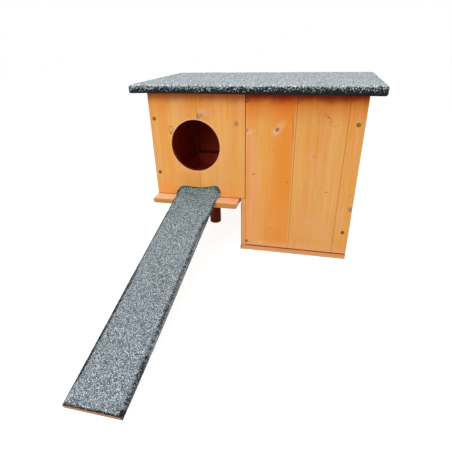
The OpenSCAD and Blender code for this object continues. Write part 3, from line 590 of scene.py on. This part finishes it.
def stain_plain(node, seed, across, grain, **more):
    """A stained board whose pith and knots lie at random places. It has a knot, a brown or grey oval, for
    each KNOT_SPACING of its length, and sometimes one more."""
    low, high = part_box(node)
    half = dict(zip("xyz", (high - low) / 2 / MM))
    rng = np.random.default_rng(seed)
    count = max(1, round(2 * half[grain] / KNOT_SPACING)) + int(rng.integers(0, 2))
    x = rng.uniform(-0.8, 0.8, count) * half[across]
    z = rng.uniform(-0.9, 0.9, count) * half[grain]
    size = rng.uniform(3, 7, count)
    tilt = rng.uniform(-30, 30, count)
    tones = [DARK_KNOT, GREY_KNOT, TAN_KNOT]
    knots = [("knot", x[i], z[i], size[i], size[i] * 1.25, tones[i % 3], 0.9, tilt[i]) for i in range(count)]
    rng = np.random.default_rng(seed + 500)
    pith = (rng.uniform(-60, 60), rng.uniform(50, 120))
    stain_board(node, seed, across=across, grain=grain, marks=knots, pith=pith, **more)


for i in range(4):
    stain_plain(f"back_board_{i + 1}", 41 + i, "x", "z", indoors=ROOM_SHADE if i else CORNER_SHADE)
for i, part in enumerate(("front", "back")):
    stain_plain(f"left_side_board_{part}", 51 + i, "y", "z", indoors=(ENTRANCE_LIT_SHADE, CORNER_SHADE)[i])
    stain_plain(f"right_side_board_{part}", 53 + i, "y", "z")
for i, part in enumerate(("lower", "upper")):
    stain_plain(f"step_panel_{part}", 57 + i, "z", "y", front_tone=(234, 166, 106))

# ------------ The floors and the perch
# Level boards of the same softwood. The front one of the raised floor runs out
# through the wall's foot as the perch, with its edges rounded over by hand.
FLOOR_TONES = ((234, 172, 120), (224, 158, 100), (204, 130, 74))
for i, part in enumerate(("middle", "back")):
    stain_plain(f"raised_floor_board_{part}", 62 + i, "y", "x", tones=FLOOR_TONES, indoors=ENTRANCE_LIT_SHADE)
for i, part in enumerate(("front", "middle", "back")):
    stain_plain(f"lower_floor_board_{part}", 64 + i, "y", "x", tones=FLOOR_TONES)

PERCH_CORNER = 7 * MM
PERCH_EDGE = 5 * MM
SAWN_EDGE = 0.6 * MM
PERCH_RIM = 8 * MM
PERCH_SWELL = 1.8 * MM  # how much thicker the front edge is at its right end
HEAD_DENT = 1.3 * MM


def grid_quads(rows, columns, closed=False):
    """Face corners of a grid of points numbered row by row; closed joins the last column to the first."""
    column = np.arange(columns if closed else columns - 1)
    after = (column + 1) % columns
    row = np.arange(rows - 1)[:, None] * columns
    corners = [row + column, row + after, row + columns + after, row + columns + column]
    return np.stack(corners, -1).reshape(-1, 4)


def solid_mesh(name, points, quads, body):
    """A mesh object of (n, 3) points and (m, 4) face corners that rides on a body. Points that coincide
    are joined, and the faces are turned to look outwards."""
    mesh = bpy.data.meshes.new(name)
    mesh.from_pydata(points.reshape(-1, 3).tolist(), [], quads.tolist())
    work = bmesh.new()
    work.from_mesh(mesh)
    bmesh.ops.remove_doubles(work, verts=work.verts, dist=1e-6)
    bmesh.ops.recalc_face_normals(work, faces=work.faces)
    work.to_mesh(mesh)
    work.free()
    mesh.shade_smooth()
    piece = new_object(name, mesh)
    if body:
        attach(piece, body)
    return piece


class Plate:
    """A level plate with rounded corners: a grid in the middle, and round it a profile carried along the
    edge. The edge's points have a share of the width and of the depth from 0 to 1, and an outward
    direction that turns through a quarter at each corner."""

    def __init__(self, low, high, cells, arc=7):
        self.low, self.high = np.array(low), np.array(high)
        self.sides = x, y = [np.linspace(0, 1, count + 1) for count in cells]
        quarter = np.linspace(0, np.pi / 2, arc + 1)[1:-1]
        sides = [(x, 0), (1, y), (1 - x, 1), (0, 1 - y)]
        corners = [(1, 0), (1, 1), (0, 1), (0, 0)]
        parts = []
        for turn, side, corner in zip(np.array([-1, 0, 1, 2]) * np.pi / 2, sides, corners):
            parts += [np.broadcast_arrays(*side, turn), np.broadcast_arrays(*corner, quarter + turn)]
        self.share_x, self.share_y, facing = (np.concatenate(part) for part in zip(*parts))
        self.out_x, self.out_y = np.cos(facing), np.sin(facing)

    def form(self, corners, profile):
        """Points and quads of a closed ring for each (inset, height) row of the profile, with a level grid
        inside the first ring and one inside the last. A ring is a rectangle inset from the edge, whose
        front and back corners are arcs of radius corner less inset."""
        wide = np.zeros((1, self.share_x.size))
        rows = [np.broadcast_arrays(*row, wide)[:2] for row in profile]
        inset, height = (np.concatenate(column) for column in zip(*rows))
        span = self.high - self.low
        front, back = (np.maximum(inset, corner) for corner in corners)
        sharp = front + (back - front) * self.share_y
        round_off = np.maximum(corners[0] + (corners[1] - corners[0]) * self.share_y - inset, 0)
        x = self.low[0] + sharp + self.share_x * (span[0] - 2 * sharp) + round_off * self.out_x
        y = self.low[1] + front + self.share_y * (span[1] - front - back) + round_off * self.out_y
        straight = np.abs(self.out_y) < 1e-6
        x = np.where(straight, self.low[0] + inset + self.share_x * (span[0] - 2 * inset), x)
        points = [np.stack([x, y, height], -1).reshape(-1, 3)]
        quads = [grid_quads(*height.shape, closed=True)]
        rim = profile[0][0]
        x, y = np.meshgrid(*(self.low[k] + rim + self.sides[k] * (span[k] - 2 * rim) for k in (0, 1)))
        for k, row in enumerate((profile[0], profile[-1])):
            points.append(np.stack([x, y, 0 * x + row[1]], -1).reshape(-1, 3))
            quads.append(grid_quads(*x.shape) + height.size + k * x.size)
        return np.concatenate(points), np.concatenate(quads)


def smooth(value, start, end):
    """0 up to start and 1 from end on, with a smooth step between them."""
    t = np.clip((value - start) / (end - start), 0, 1)
    return t * t * (3 - 2 * t)


def perch_form():
    """A plate whose edge is rounded over at the front and sawn square inside the house, with a dent
    over each sunk screw head: the top goes down by a smooth step of the distance to its middle. The front
    edge grows a little thicker towards the right."""
    low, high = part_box("perch_board")
    plate = Plate(low, high, (132, 64))
    from_wall = plate.low[1] + plate.share_y * (plate.high[1] - plate.low[1]) - WALL_FOOT.y
    edge = PERCH_EDGE + (SAWN_EDGE - PERCH_EDGE) * smooth(from_wall, -8 * MM, -1 * MM)
    bend = np.linspace(0, np.pi / 2, 7)[:, None]
    steps = np.linspace(0, 1, 4)[1:-1, None]
    rim_steps = np.linspace(0, 1, 3)[1:-1, None]
    profile = [
        (PERCH_RIM, high.z),
        (PERCH_RIM + (edge - PERCH_RIM) * rim_steps, high.z),
        (edge * (1 - np.sin(bend)), high.z - edge * (1 - np.cos(bend))),
        (0, high.z - edge + (low.z - high.z + 2 * edge) * steps),
        (edge * (1 - np.cos(bend)), low.z + edge * (1 - np.sin(bend))),
        (edge + (PERCH_RIM - edge) * rim_steps, low.z),
        (PERCH_RIM, low.z),
    ]
    points, quads = plate.form((PERCH_CORNER, SAWN_EDGE), profile)
    across = (points[:, 0] - low.x) / (high.x - low.x)
    outside = smooth(WALL_FOOT.y - points[:, 1], 2 * MM, 20 * MM)
    swell = PERCH_SWELL * smooth(across, 0.4, 0.9) * outside
    points[:, 2] -= np.where(points[:, 2] < high.z - 10 * MM, swell, 0)
    for centre in head_centres("floor_screws", 2, high.z - 1.1 * MM):
        away = np.hypot(points[:, 0] - centre[0], points[:, 1] - centre[1])
        dent = HEAD_DENT * (1 - smooth(away, 4 * MM, 5.6 * MM))
        points[:, 2] -= np.where(points[:, 2] > high.z - MM, dent, 0)
    return points, quads


# The perch's tones are paler than the walls' as painted light on its top, and front_tone darkens its front
# edge as painted shade.
PERCH_TOP_LIGHT_TONES = ((255, 214, 172), (255, 202, 154), (244, 178, 126))
PERCH_MARKS = [("haze", -22, 262, 16, 30, (252, 176, 136), 0.6),
               ("haze", -12, 30, 12, 40, PERCH_TOP_LIGHT_TONES[0], 0.8),
               # A darker line where the perch meets the wall's face is painted shade in the crease.
               ("haze", 0, 140, 3, 900, (206, 126, 74), 0.8)]
perch = solid_mesh("perch", *perch_form(), "house")
perch_low, perch_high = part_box("perch_board")
perch.data.materials.append(
    softwood_finish("perch_stain", perch_low, perch_high, 61, across="y", grain="x", tones=PERCH_TOP_LIGHT_TONES,
                    start=WALL_FOOT, marks=PERCH_MARKS, front_tone=(192, 120, 34), indoors=ENTRANCE_LIT_SHADE)
)
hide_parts("perch_board")

# ------------ The frame
# Posts, rails and bearers inside the walls: sawn battens with a thin coat of the same stain,
# painted darker and redder as painted shade, since only the light of the entrance meets them.
BATTEN_TONES = ((226, 158, 96), (214, 140, 78), (184, 108, 56))
BATTEN = {"tones": BATTEN_TONES, "ring": 3.5}
for i, column in enumerate(("left", "middle", "right")):
    stain = CORNER_SHADE if column == "left" else ROOM_SHADE
    for j, row in enumerate(("front", "back")):
        stain_plain(f"post_{row}_{column}", 71 + 2 * i + j, "x", "z", indoors=stain, **BATTEN)
for i, node in enumerate(("top_rails_front", "top_rails_back", "foot_rails_lower", "foot_rails_raised")):
    stain = ENTRANCE_LIT_SHADE if node == "foot_rails_raised" else ROOM_SHADE
    stain_plain(node, 81 + i, "z", "x", indoors=stain, **BATTEN)
for i, node in enumerate(("top_rails_ends", "floor_bearers")):
    stain_plain(node, 86 + i, "z", "y", **BATTEN)

# ------------ The leg
# A machine-rounded post under the raised room, cut from a thin stem so that its
# rings lie round its own middle. Its darkest, reddest tones are painted shade, as
# it stands in the shade under the raised room.
LEG_SHADE_TONES = ((108, 30, 0), (96, 14, 0), (66, 10, 0))
stain_board("leg", 91, tones=LEG_SHADE_TONES, marks=[("knot", 8, 30, 5, 7, (50, 14, 5), 0.8, 10)], pith=(5, 4),
            ring=3, eaves=(0, 0))

# ------------ The screws and the brads
# Zinc-plated cross-head screws, dulled by the weather, and small brads along the
# tops and the feet of the front boards, driven in just below the surface.


def metal_finish(name, colour, stain, rough, resin=(0, 0, 9)):
    """Plated steel: mottled with dull stains, rougher where it is stained, and covered with pale resin
    out to about 6 mm from the place called resin."""
    material = bpy.data.materials.new(name)
    metal = fresh(material)
    place = metal.add("TexCoord", {}, "Object")
    mottle = metal.noise(place, 420, 1, 4).rise(0.42, 0.68)
    bump = metal.add("Bump", {"Strength": 0.4, "Distance": 0.0001, "Height": metal.noise(place, 2600, 2)})
    clear = metal.vectors("DISTANCE", place, resin, out="Value").rise(6 * MM, 7 * MM)
    colour = metal.mix(clear, RESIN, metal.mix(mottle, colour, stain))
    metal.surface(Base_Color=colour, Metallic=clear * 0.85, Normal=bump, Roughness=mottle * 0.25 + rough)
    return material


ZINC = metal_finish("zinc_plate", (150, 106, 40), (84, 52, 14), 0.42, WALL_FOOT + Vector(RESIN_HEAD) * MM)
coat(ZINC, "leg_screw", "front_screws", "back_screws", "side_screws", "floor_screws", "roof_screws")

BRAD_HEAD = 1.1 * MM
BRADS = [
    (506, 485.3), (552, 474.4), (621.3, 468.9), (588.1, 476.1), (168.8, 476.7), (314.4, 473.9), (462.9, 27.7),
    (560.1, 24.5), (589.3, 29), (617.1, 33.3), (315.2, 28.2), (379.3, 34), (384.7, 26.6), (12, 486),
    (70, 488), (9.1, 317.9), (17.3, 336.8), (8, 192), (262, 190),
]


def brad_heads(places):
    """Flat domes let into the boards' face: each is a curve of radius and depth turned round its middle."""
    radius = np.array([0, 0.45, 0.8, 1, 1, 0]) * BRAD_HEAD
    depth = np.array([-0.2, -0.18, -0.1, 0.05, 1.5, 1.5]) * MM
    turn = np.linspace(0, 2 * np.pi, 12, endpoint=False)
    x = radius[:, None] * np.cos(turn)
    z = radius[:, None] * np.sin(turn)
    y = np.broadcast_to(depth[:, None], x.shape)
    one = np.stack([x, y, z], -1)
    shift = np.array([(WALL_FOOT.x + px * MM, WALL_FOOT.y, pz * MM) for px, pz in places])
    points = shift[:, None, None, :] + one[None]
    quads = grid_quads(*x.shape, closed=True)
    numbers = np.arange(len(places))[:, None, None] * x.size + quads[None]
    return points.reshape(-1, 3), numbers.reshape(-1, 4)


brads = solid_mesh("front_brads", *brad_heads(BRADS), "house")
brads.data.materials.append(metal_finish("brad_steel", (110, 80, 52), (60, 40, 24), 0.5))

# ------------ The roof boards
# Three sawn boards side by side under the felt, held together by two battens
# that hang between the top rails and keep the closed lid in its place.
ROOF_WOOD = {"tones": BATTEN_TONES, "eaves": (0, 0), "indoors": WHITE}
for i, part in enumerate(("front", "middle", "back")):
    stain_plain(f"roof_board_{part}", 101 + i, "y", "x", **ROOF_WOOD)
for i, side in enumerate(("left", "right")):
    stain_plain(f"roof_batten_{side}", 105 + i, "x", "y", **ROOF_WOOD)

# ------------ The roof felt
# Bitumen felt covered with grey mineral granules, glued over the boards. It is
# folded down round the edges and under the front and the ends, and nailed there.
BITUMEN = (22, 21, 21)


def granule_group():
    """Mineral granules on black bitumen: each Voronoi cell is one granule with its own grey, bitumen
    shows in the gaps, and soft patches make some places lighter than others. The input for bitumen adds
    bitumen and painted shade, and below zero it lightens the granules as painted light; the tint multiplies
    the colour."""
    takes = {"Vector": "Place", "Float": "Size, Bare", "Color": "Tint, Light, Mid, Dark"}
    felt, given = new_group("granules", takes, {"Color": "Colour", "Float": "Roughness, Height"})
    cell = felt.add("TexVoronoi", {"Vector": given["Place"], "Scale": 1 / given["Size"]}, "Distance")
    chance = felt.add("SeparateColor", {0: cell["Color"]})
    patch = (felt.noise(given["Place"], 22, 5, 3) - 0.5) * 0.12
    worn = felt.noise(given["Place"], 300, 6, 3).rise(0.35, 0.65)
    bare = given["Bare"] * (worn * 0.4 + 0.8)
    grey = patch + chance["Red"] - bare * 0.55
    colour = felt.mix(grey.rise(0.02, 0.34), given["Dark"], given["Mid"])
    colour = felt.mix(grey.rise(0.66, 0.94), colour, given["Light"])
    lost = (bare - chance["Green"]).rise(-0.05, 0.25)
    bitumen = felt.maths("MAXIMUM", cell.rise(0.55, 0.85) * 0.5, lost)
    colour = felt.mix(1, felt.mix(bitumen, colour, BITUMEN), given["Tint"], "MULTIPLY")
    height = (1 - cell) * (1 - lost * 0.7)
    return closed_group(felt, Colour=colour, Roughness=chance["Blue"] * 0.2 + 0.74, Height=height)


GRANULES = granule_group()


def felt_finish(name, size, light, mid, dark):
    """A granule finish that is darkened by bitumen and painted shade, and lightened by painted light, as the
    mesh's attribute for them says.
    """
    material = bpy.data.materials.new(name)
    felt = fresh(material)
    sockets = {"Place": felt.add("TexCoord", {}, "Object"), "Size": size, "Light": light, "Mid": mid,
               "Dark": dark, "Bare": felt.add("Attribute", {}, "Fac", attribute_name="bare"),
               "Tint": felt.add("Attribute", {}, "Color", attribute_name="tint")}
    skin = felt.add("Group", sockets, "Colour", node_tree=GRANULES)
    bump = felt.add("Bump", {"Strength": 0.6, "Distance": 0.0006, "Height": skin["Height"]})
    felt.surface(Base_Color=skin, Roughness=skin["Roughness"], Normal=bump, Specular_IOR_Level=0.2)
    return material


GRIT = 0.2 * MM
FELT_T = 3 * MM
FELT_SPARE = 0.5 * MM  # how far the felt's smooth form keeps inside its solid, for its grit
ROOF_CORNER = 5 * MM
ROOF_EDGE = 7 * MM
ROOF_LIP_FOLD = 2.5 * MM
ROOF_LIP = 22 * MM
ROOF_RIM = 32 * MM
HINGE_NOTCH = 32 * MM
LEAF_HALF = 30 * MM

# How much lower the front's folded edge sags, at places along the roof from the wall's left end, in mm
FRONT_SAG = [(-36, 3.2), (60, 1.8), (120, 1.8), (265, 3.2), (450, 4.2), (600, 5.2), (664, 5.4)]


def along(pairs, place):
    """The value at a place, on straight lines between the pairs of (place, value), all in millimetres."""
    places, values = np.array(pairs, float).T
    return np.interp(place / MM, places, values) * MM


def roof_felt_form():
    """A plate with a rounded edge that hangs down as a fascia and is folded under at the front and the
    ends as a lip. The front's fold sags below the nailed part of the lip. At the back the edge only
    hangs down, and over each hinge it isn't there."""
    low, high = (np.array(corner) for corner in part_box("roof_felt"))
    plate = Plate(low + [FELT_SPARE, FELT_SPARE, 0], high - FELT_SPARE, (170, 104))
    edge_x = plate.low[0] + plate.share_x * (plate.high[0] - plate.low[0])
    back = np.clip(plate.out_y, 0, 1)
    pins_low, pins_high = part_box("hinge_pins")
    hinges = (pins_low.x + LEAF_HALF, pins_high.x - LEAF_HALF)
    notch = (back > 0.99) & (np.min([abs(edge_x - x) for x in hinges], axis=0) < HINGE_NOTCH)
    top = plate.high[2]
    nailed = np.where(notch, top - FELT_T, low[2] + FELT_T * back)
    hem = nailed - along(FRONT_SAG, edge_x - WALL_FOOT.x) * np.clip(-plate.out_y, 0, 1)
    lip = FELT_T + (ROOF_LIP - FELT_T) * (1 - back)
    edge = np.minimum(ROOF_EDGE, top - hem)
    fold = np.minimum(ROOF_LIP_FOLD, top - edge - hem)
    under = np.minimum(hem + FELT_T, top - FELT_T)
    under_nailed = np.minimum(nailed + FELT_T, top - FELT_T)
    bend = np.linspace(0, np.pi / 2, 7)[:, None]
    small_bend = np.linspace(0, np.pi / 2, 4)[:, None]
    steps = np.linspace(0, 1, 5)[1:-1, None]
    profile = [
        (ROOF_RIM, top),
        (edge + (ROOF_RIM - edge) * (1 - steps), top),
        (edge * (1 - np.sin(bend)), top - edge * (1 - np.cos(bend))),
        (0, top - edge + (hem + fold - top + edge) * steps),
        (fold * (1 - np.cos(small_bend)), hem + fold * (1 - np.sin(small_bend))),
        (fold + (lip - fold) * steps, nailed + (hem - nailed) * (1 - smooth(steps, 0, 0.6))),
        (lip, nailed),
        (lip, under_nailed),
        (lip + (FELT_T - lip) * steps, under_nailed + (under - under_nailed) * smooth(steps, 0.4, 1)),
        (FELT_T, under),
        (FELT_T, top - FELT_T),
        (FELT_T + (ROOF_RIM - FELT_T) * steps, top - FELT_T),
        (ROOF_RIM, top - FELT_T),
    ]
    return plate.form((ROOF_CORNER, ROOF_CORNER), profile)


def add_grit(mesh, seed):
    """Moves every point a random little along its normal, as a rough skin of granules stands."""
    normals = np.zeros(len(mesh.vertices) * 3)
    mesh.vertices.foreach_get("normal", normals)
    grit = np.random.default_rng(seed).uniform(-1, 1, len(mesh.vertices))
    points = read_points(mesh) + normals.reshape(-1, 3) * (grit * GRIT)[:, None]
    mesh.vertices.foreach_set("co", points.ravel())
    mesh.update()


def mark_skin(mesh, bare, tint):
    """Stores how much bitumen and painted shade darken each point, with painted light below zero, and a tint
    that multiplies its colour.
    """
    mesh.attributes.new("bare", "FLOAT", "POINT").data.foreach_set("value", bare.astype(np.float32))
    colours = np.ones((len(bare), 4), np.float32)
    colours[:, :3] = tint
    mesh.attributes.new("tint", "FLOAT_COLOR", "POINT").data.foreach_set("color", colours.ravel())


roof_felt = solid_mesh("mineral_roof_felt", *roof_felt_form(), "roof")
points = read_points(roof_felt.data)
low, high = (np.array(corner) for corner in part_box("roof_felt"))
on_top = np.clip((points[:, 2] - high[2] + 2 * FELT_T) / FELT_T, 0, 1)
inland = np.minimum(points[:, :2] - low[:2], high[:2] - points[:, :2]).min(1)
# Two slow sines of the place, of 0.25 and 0.2 mm, both kept under the solid's top
wave = 0.25 * MM * np.sin(2 * np.pi * (points[:, 0] / 0.31 + points[:, 1] / 0.9) + 0.4)
wave += 0.2 * MM * np.sin(2 * np.pi * (points[:, 0] / -0.17 + points[:, 1] / 0.23) + 2)
points[:, 2] += on_top * smooth(inland, 8 * MM, 25 * MM) * (wave - 0.45 * MM)
roof_felt.data.vertices.foreach_set("co", points.ravel())
# Bitumen shows more down the rounded edge and over the fascia, and this darkening is also painted shade where
# the edge turns away from the light above.
drop = high[2] - points[:, 2]
bare = 0.5 * smooth(drop, 2.2 * MM, 6 * MM) + 0.45 * smooth(drop, 6.5 * MM, 15 * MM)
bare += 0.5 * smooth(drop, 17 * MM, 20 * MM)
mark_skin(roof_felt.data, bare, 1 + bare[:, None] * [-0.02, 0.05, 0.08])
add_grit(roof_felt.data, 11)
roof_felt.data.materials.append(
    felt_finish("roof_granules", 2.5 * MM, (244, 252, 255), (170, 179, 183), (58, 68, 72))
)
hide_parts("roof_felt")

# ------------ The clout nails and the hinges
# Galvanised clout nails hold the felt's turned edge from below and behind. Two
# steel butt hinges with loose-looking pins join the lid to the back wall.
coat(metal_finish("galvanised_coat", (176, 180, 182), (120, 122, 120), 0.45), "roof_clout_nails")
coat(ZINC, "wall_hinge_leaves", "wall_hinge_screws", "hinge_pins", "roof_hinge_leaves", "roof_hinge_screws")

# ------------ The ramp board
# One thin planed board. Only its end at the foot and its underside show, since
# the felt covers its face and is folded down both long edges.
RAMP_TONES = ((228, 160, 96), (214, 140, 72), (186, 104, 52))
# front_tone darkens the board's end at the foot as painted shade under the felt's edge.
stain_plain("ramp_board", 111, "x", "y", tones=RAMP_TONES, eaves=(0, 0), front_tone=(150, 116, 92))

# ------------ The ramp's felt and its felt hinge
# One strip of the same felt covers the ramp, folds down its long edges, crosses
# the perch and turns up the wall. Where it leaves the ramp it is the hinge.
RAMP_LEN = 684 * MM
RAMP_SLOPE = math.radians(14.637)
FOLD_LINE = WALL_FOOT + Vector((ENTRANCE_X * MM, -48.3 * MM, 183 * MM))
STRIP_HALF = 67 * MM
SKIRT = 11.4 * MM
SKIRT_BEND = 3.5 * MM
STRIP_T = 2.4 * MM
PERCH_RUN = 31.3 * MM
WALL_BEND = 22 * MM
WALL_RISE = 12 * MM
WALL_TURN = math.radians(84)
STRIP_END = PERCH_RUN + WALL_BEND + WALL_RISE
STRIP_LIFT = 1.1 * MM
FOLD_REACH = 9 * MM  # how far the bend at the fold reaches on each side of it
FOOT_SHORT = 0.4 * MM  # how much of the board's end the felt leaves free at the foot

# The strip's half widths at places along it, and the height of its upper edge at places across it, in mm
LEFT_HALF = [(-684, 65), (-600, 65.5), (-480, 66), (-370, 67.3), (-12, 67.3), (12, 67.2), (30, 70),
             (45, 73.5), (70, 71)]
RIGHT_HALF = [(-684, 64), (-640, 65), (-520, 66.6), (-400, 67.1), (-40, 67.5), (-6, 70), (6, 71.5),
              (25, 69.5), (45, 72.5), (70, 76)]
UPPER_EDGE = [(-72, -22), (-60, -9), (-53, -1), (-36, 2), (-18, 0), (10, -1), (38, 4), (50, 8), (57, 7),
              (62, 2), (65, -4), (67, -11)]


def section(across_share, bend, skirt, inset):
    """The C-shaped section, from its left foot over the top to its right foot, inset from the outer
    skin: how far across, how far down, and 0 on the top, 1 on an outer skirt, 2 on an inner one."""
    half = STRIP_HALF - inset
    radius = SKIRT_BEND - inset
    top = across_share * (half - radius)
    curve_across = half - radius + radius * np.sin(bend)
    curve_down = inset + radius * (1 - np.cos(bend))
    skirt_down = curve_down[-1] + (SKIRT - curve_down[-1]) * skirt
    side_across = np.concatenate([curve_across, 0 * skirt + half])
    side_down = np.concatenate([curve_down, skirt_down])
    across = np.concatenate([-side_across[::-1], top, side_across])
    down = np.concatenate([side_down[::-1], 0 * top + inset, side_down])
    kind = 1 if inset == 0 else 2
    marks = np.concatenate([0 * side_down + kind, 0 * top, 0 * side_down + kind])
    return across, down, marks


def ramp_strip_form():
    """The section carried along a line that is drawn by its slope: the ramp's slope, level on the
    perch, then upright at the wall. Past the fold the section's two skirts open out flat."""
    run = np.concatenate([np.linspace(-RAMP_LEN, -30 * MM, 230), np.linspace(-29 * MM, STRIP_END, 84)])
    across_share = np.linspace(-1, 1, 61)
    bend = np.linspace(0, np.pi / 2, 5)[1:]
    skirt = np.linspace(0, 1, 4)[1:]
    skins = [section(across_share, bend, skirt, inset) for inset in (0, STRIP_T)]
    across, drop, open_out = (np.concatenate([a, b[::-1]]) for a, b in zip(*skins))
    reach = np.clip((run[:, None] - PERCH_RUN) / (STRIP_END - PERCH_RUN), 0, 1)
    ragged = 0.3 * MM * np.sin(across / (3.1 * MM)) + 0.3 * MM * np.sin(across / (1.3 * MM) + 1)
    short = np.where(open_out == 0, FOOT_SHORT + ragged, 0)
    short = short * (1 - smooth(run, -RAMP_LEN, -RAMP_LEN + 12 * MM))[:, None]
    place = run[:, None] + reach * along(UPPER_EDGE, across) + short
    fine = np.linspace(-RAMP_LEN - 5 * MM, STRIP_END + 20 * MM, 8000)
    slope = RAMP_SLOPE * (1 - smooth(fine, -FOLD_REACH, FOLD_REACH))
    slope = slope + WALL_TURN * smooth(fine, PERCH_RUN - 4 * MM, PERCH_RUN + WALL_BEND)
    step = fine[1] - fine[0]
    line_y = np.cumsum(np.cos(slope)) * step
    line_z = np.cumsum(np.sin(slope)) * step
    line_y += FOLD_LINE.y - np.interp(0, fine, line_y)
    line_z += FOLD_LINE.z + STRIP_LIFT - np.interp(0, fine, line_z)
    at_y, at_z, at_slope = (np.interp(place, fine, values) for values in (line_y, line_z, slope))
    flat = smooth(run, -30 * MM, -2 * MM)[:, None]
    half = np.where(across < 0, along(LEFT_HALF, run)[:, None], along(RIGHT_HALF, run)[:, None])
    down = np.where(open_out > 0, drop * (1 - flat) + np.minimum(drop, STRIP_T * (open_out > 1)) * flat, drop)
    x = FOLD_LINE.x + across / STRIP_HALF * half
    y = at_y + down * np.sin(at_slope)
    z = at_z - down * np.cos(at_slope)
    return np.stack([x, y, z], -1)


def dashes(place, seed):
    """Random shares from 0 to 1 at every 4 mm along a line, with straight lines between them."""
    shares = np.random.default_rng(seed).uniform(0, 1, 400)
    return np.interp(place / (4 * MM), np.arange(400) - 50, shares)


strip = ramp_strip_form()
rows, columns = strip.shape[:2]
strip_quads = [grid_quads(rows, columns, closed=True)]
half = columns // 2
for row in (0, rows - 1):
    number = row * columns + np.arange(half)
    opposite = row * columns + columns - 1 - np.arange(half)
    strip_quads.append(np.stack([number[:-1], number[1:], opposite[1:], opposite[:-1]], -1))
ramp_strip = solid_mesh("mineral_ramp_felt", strip, np.concatenate(strip_quads), None)
points = read_points(ramp_strip.data)
side = points[:, 0] - FOLD_LINE.x
forward = FOLD_LINE.y - points[:, 1]
# Bitumen shows in dashes along both edges and at the foot. The darker right edge is also painted shade, the
# skirt term below zero paints light onto the shaded skirts along the ramp, and the hem line at the flap's top
# is partly painted shadow of the gap behind it.
left_width = np.interp(forward, [0.28, 0.32, 0.6, 0.64], [4, 8.5, 8, 4]) * MM
left_edge = np.interp(forward, [-0.03, 0.1, 0.28, 0.4, 0.6, 0.65], [0.3, 0.85, 0.6, 0.85, 1, 0.4])
left_edge *= smooth(-side, 65 * MM - left_width, 68 * MM - left_width)
left_edge *= 0.35 + 0.65 * dashes(forward, 21)
right_edge = np.interp(forward, [0.05, 0.12, 0.684], [0, 0.5, 0.55]) * smooth(side, 55 * MM, 61 * MM)
right_edge *= 0.35 + 0.8 * dashes(forward, 22)
skirt = np.interp(forward, [-0.03, 0, 0.08, 0.12], [0, 0.4, 0.3, -0.45]) * smooth(side, 65.5 * MM, 66.5 * MM)
corner = smooth(np.abs(side + 3 * MM), 58 * MM, 62 * MM) * smooth(forward, 0.642, 0.652)
foot = 0.8 * smooth(forward, 0.6575, 0.66) + 0.7 * corner
upper = FOLD_LINE.z + 27 * MM + along(UPPER_EDGE, side)
hem = np.where(forward < -30 * MM, 0.4 * smooth(points[:, 2] - upper, -3 * MM, -0.8 * MM), 0)
# The tint lightens the felt on the perch as painted light against the shade in its bend, cools it near the
# house, a painted change that takes out the warm light the wall throws onto it, and darkens it up the wall.
on_perch = np.exp(-(((forward + 16 * MM) / (16 * MM)) ** 2))[:, None]
upright = smooth(-forward, 24 * MM, 42 * MM)[:, None]
near_house = np.exp(-((forward / 0.14) ** 2))[:, None]
tint = 1 + near_house * [-0.05, 0.04, 0.03] + on_perch * [0.06, 0.13, 0.16] + upright * [-0.16, -0.18, -0.27]
mark_skin(ramp_strip.data, np.clip(0.04 + left_edge + right_edge + skirt + foot + hem, -0.5, 1), tint)
add_grit(ramp_strip.data, 12)
ramp_strip.data.materials.append(
    felt_finish("ramp_granules", 1.36 * MM, (228, 238, 244), (126, 137, 144), (8, 13, 17))
)
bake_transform(ramp_strip)
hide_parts("ramp_felt", "perch_felt_flap")
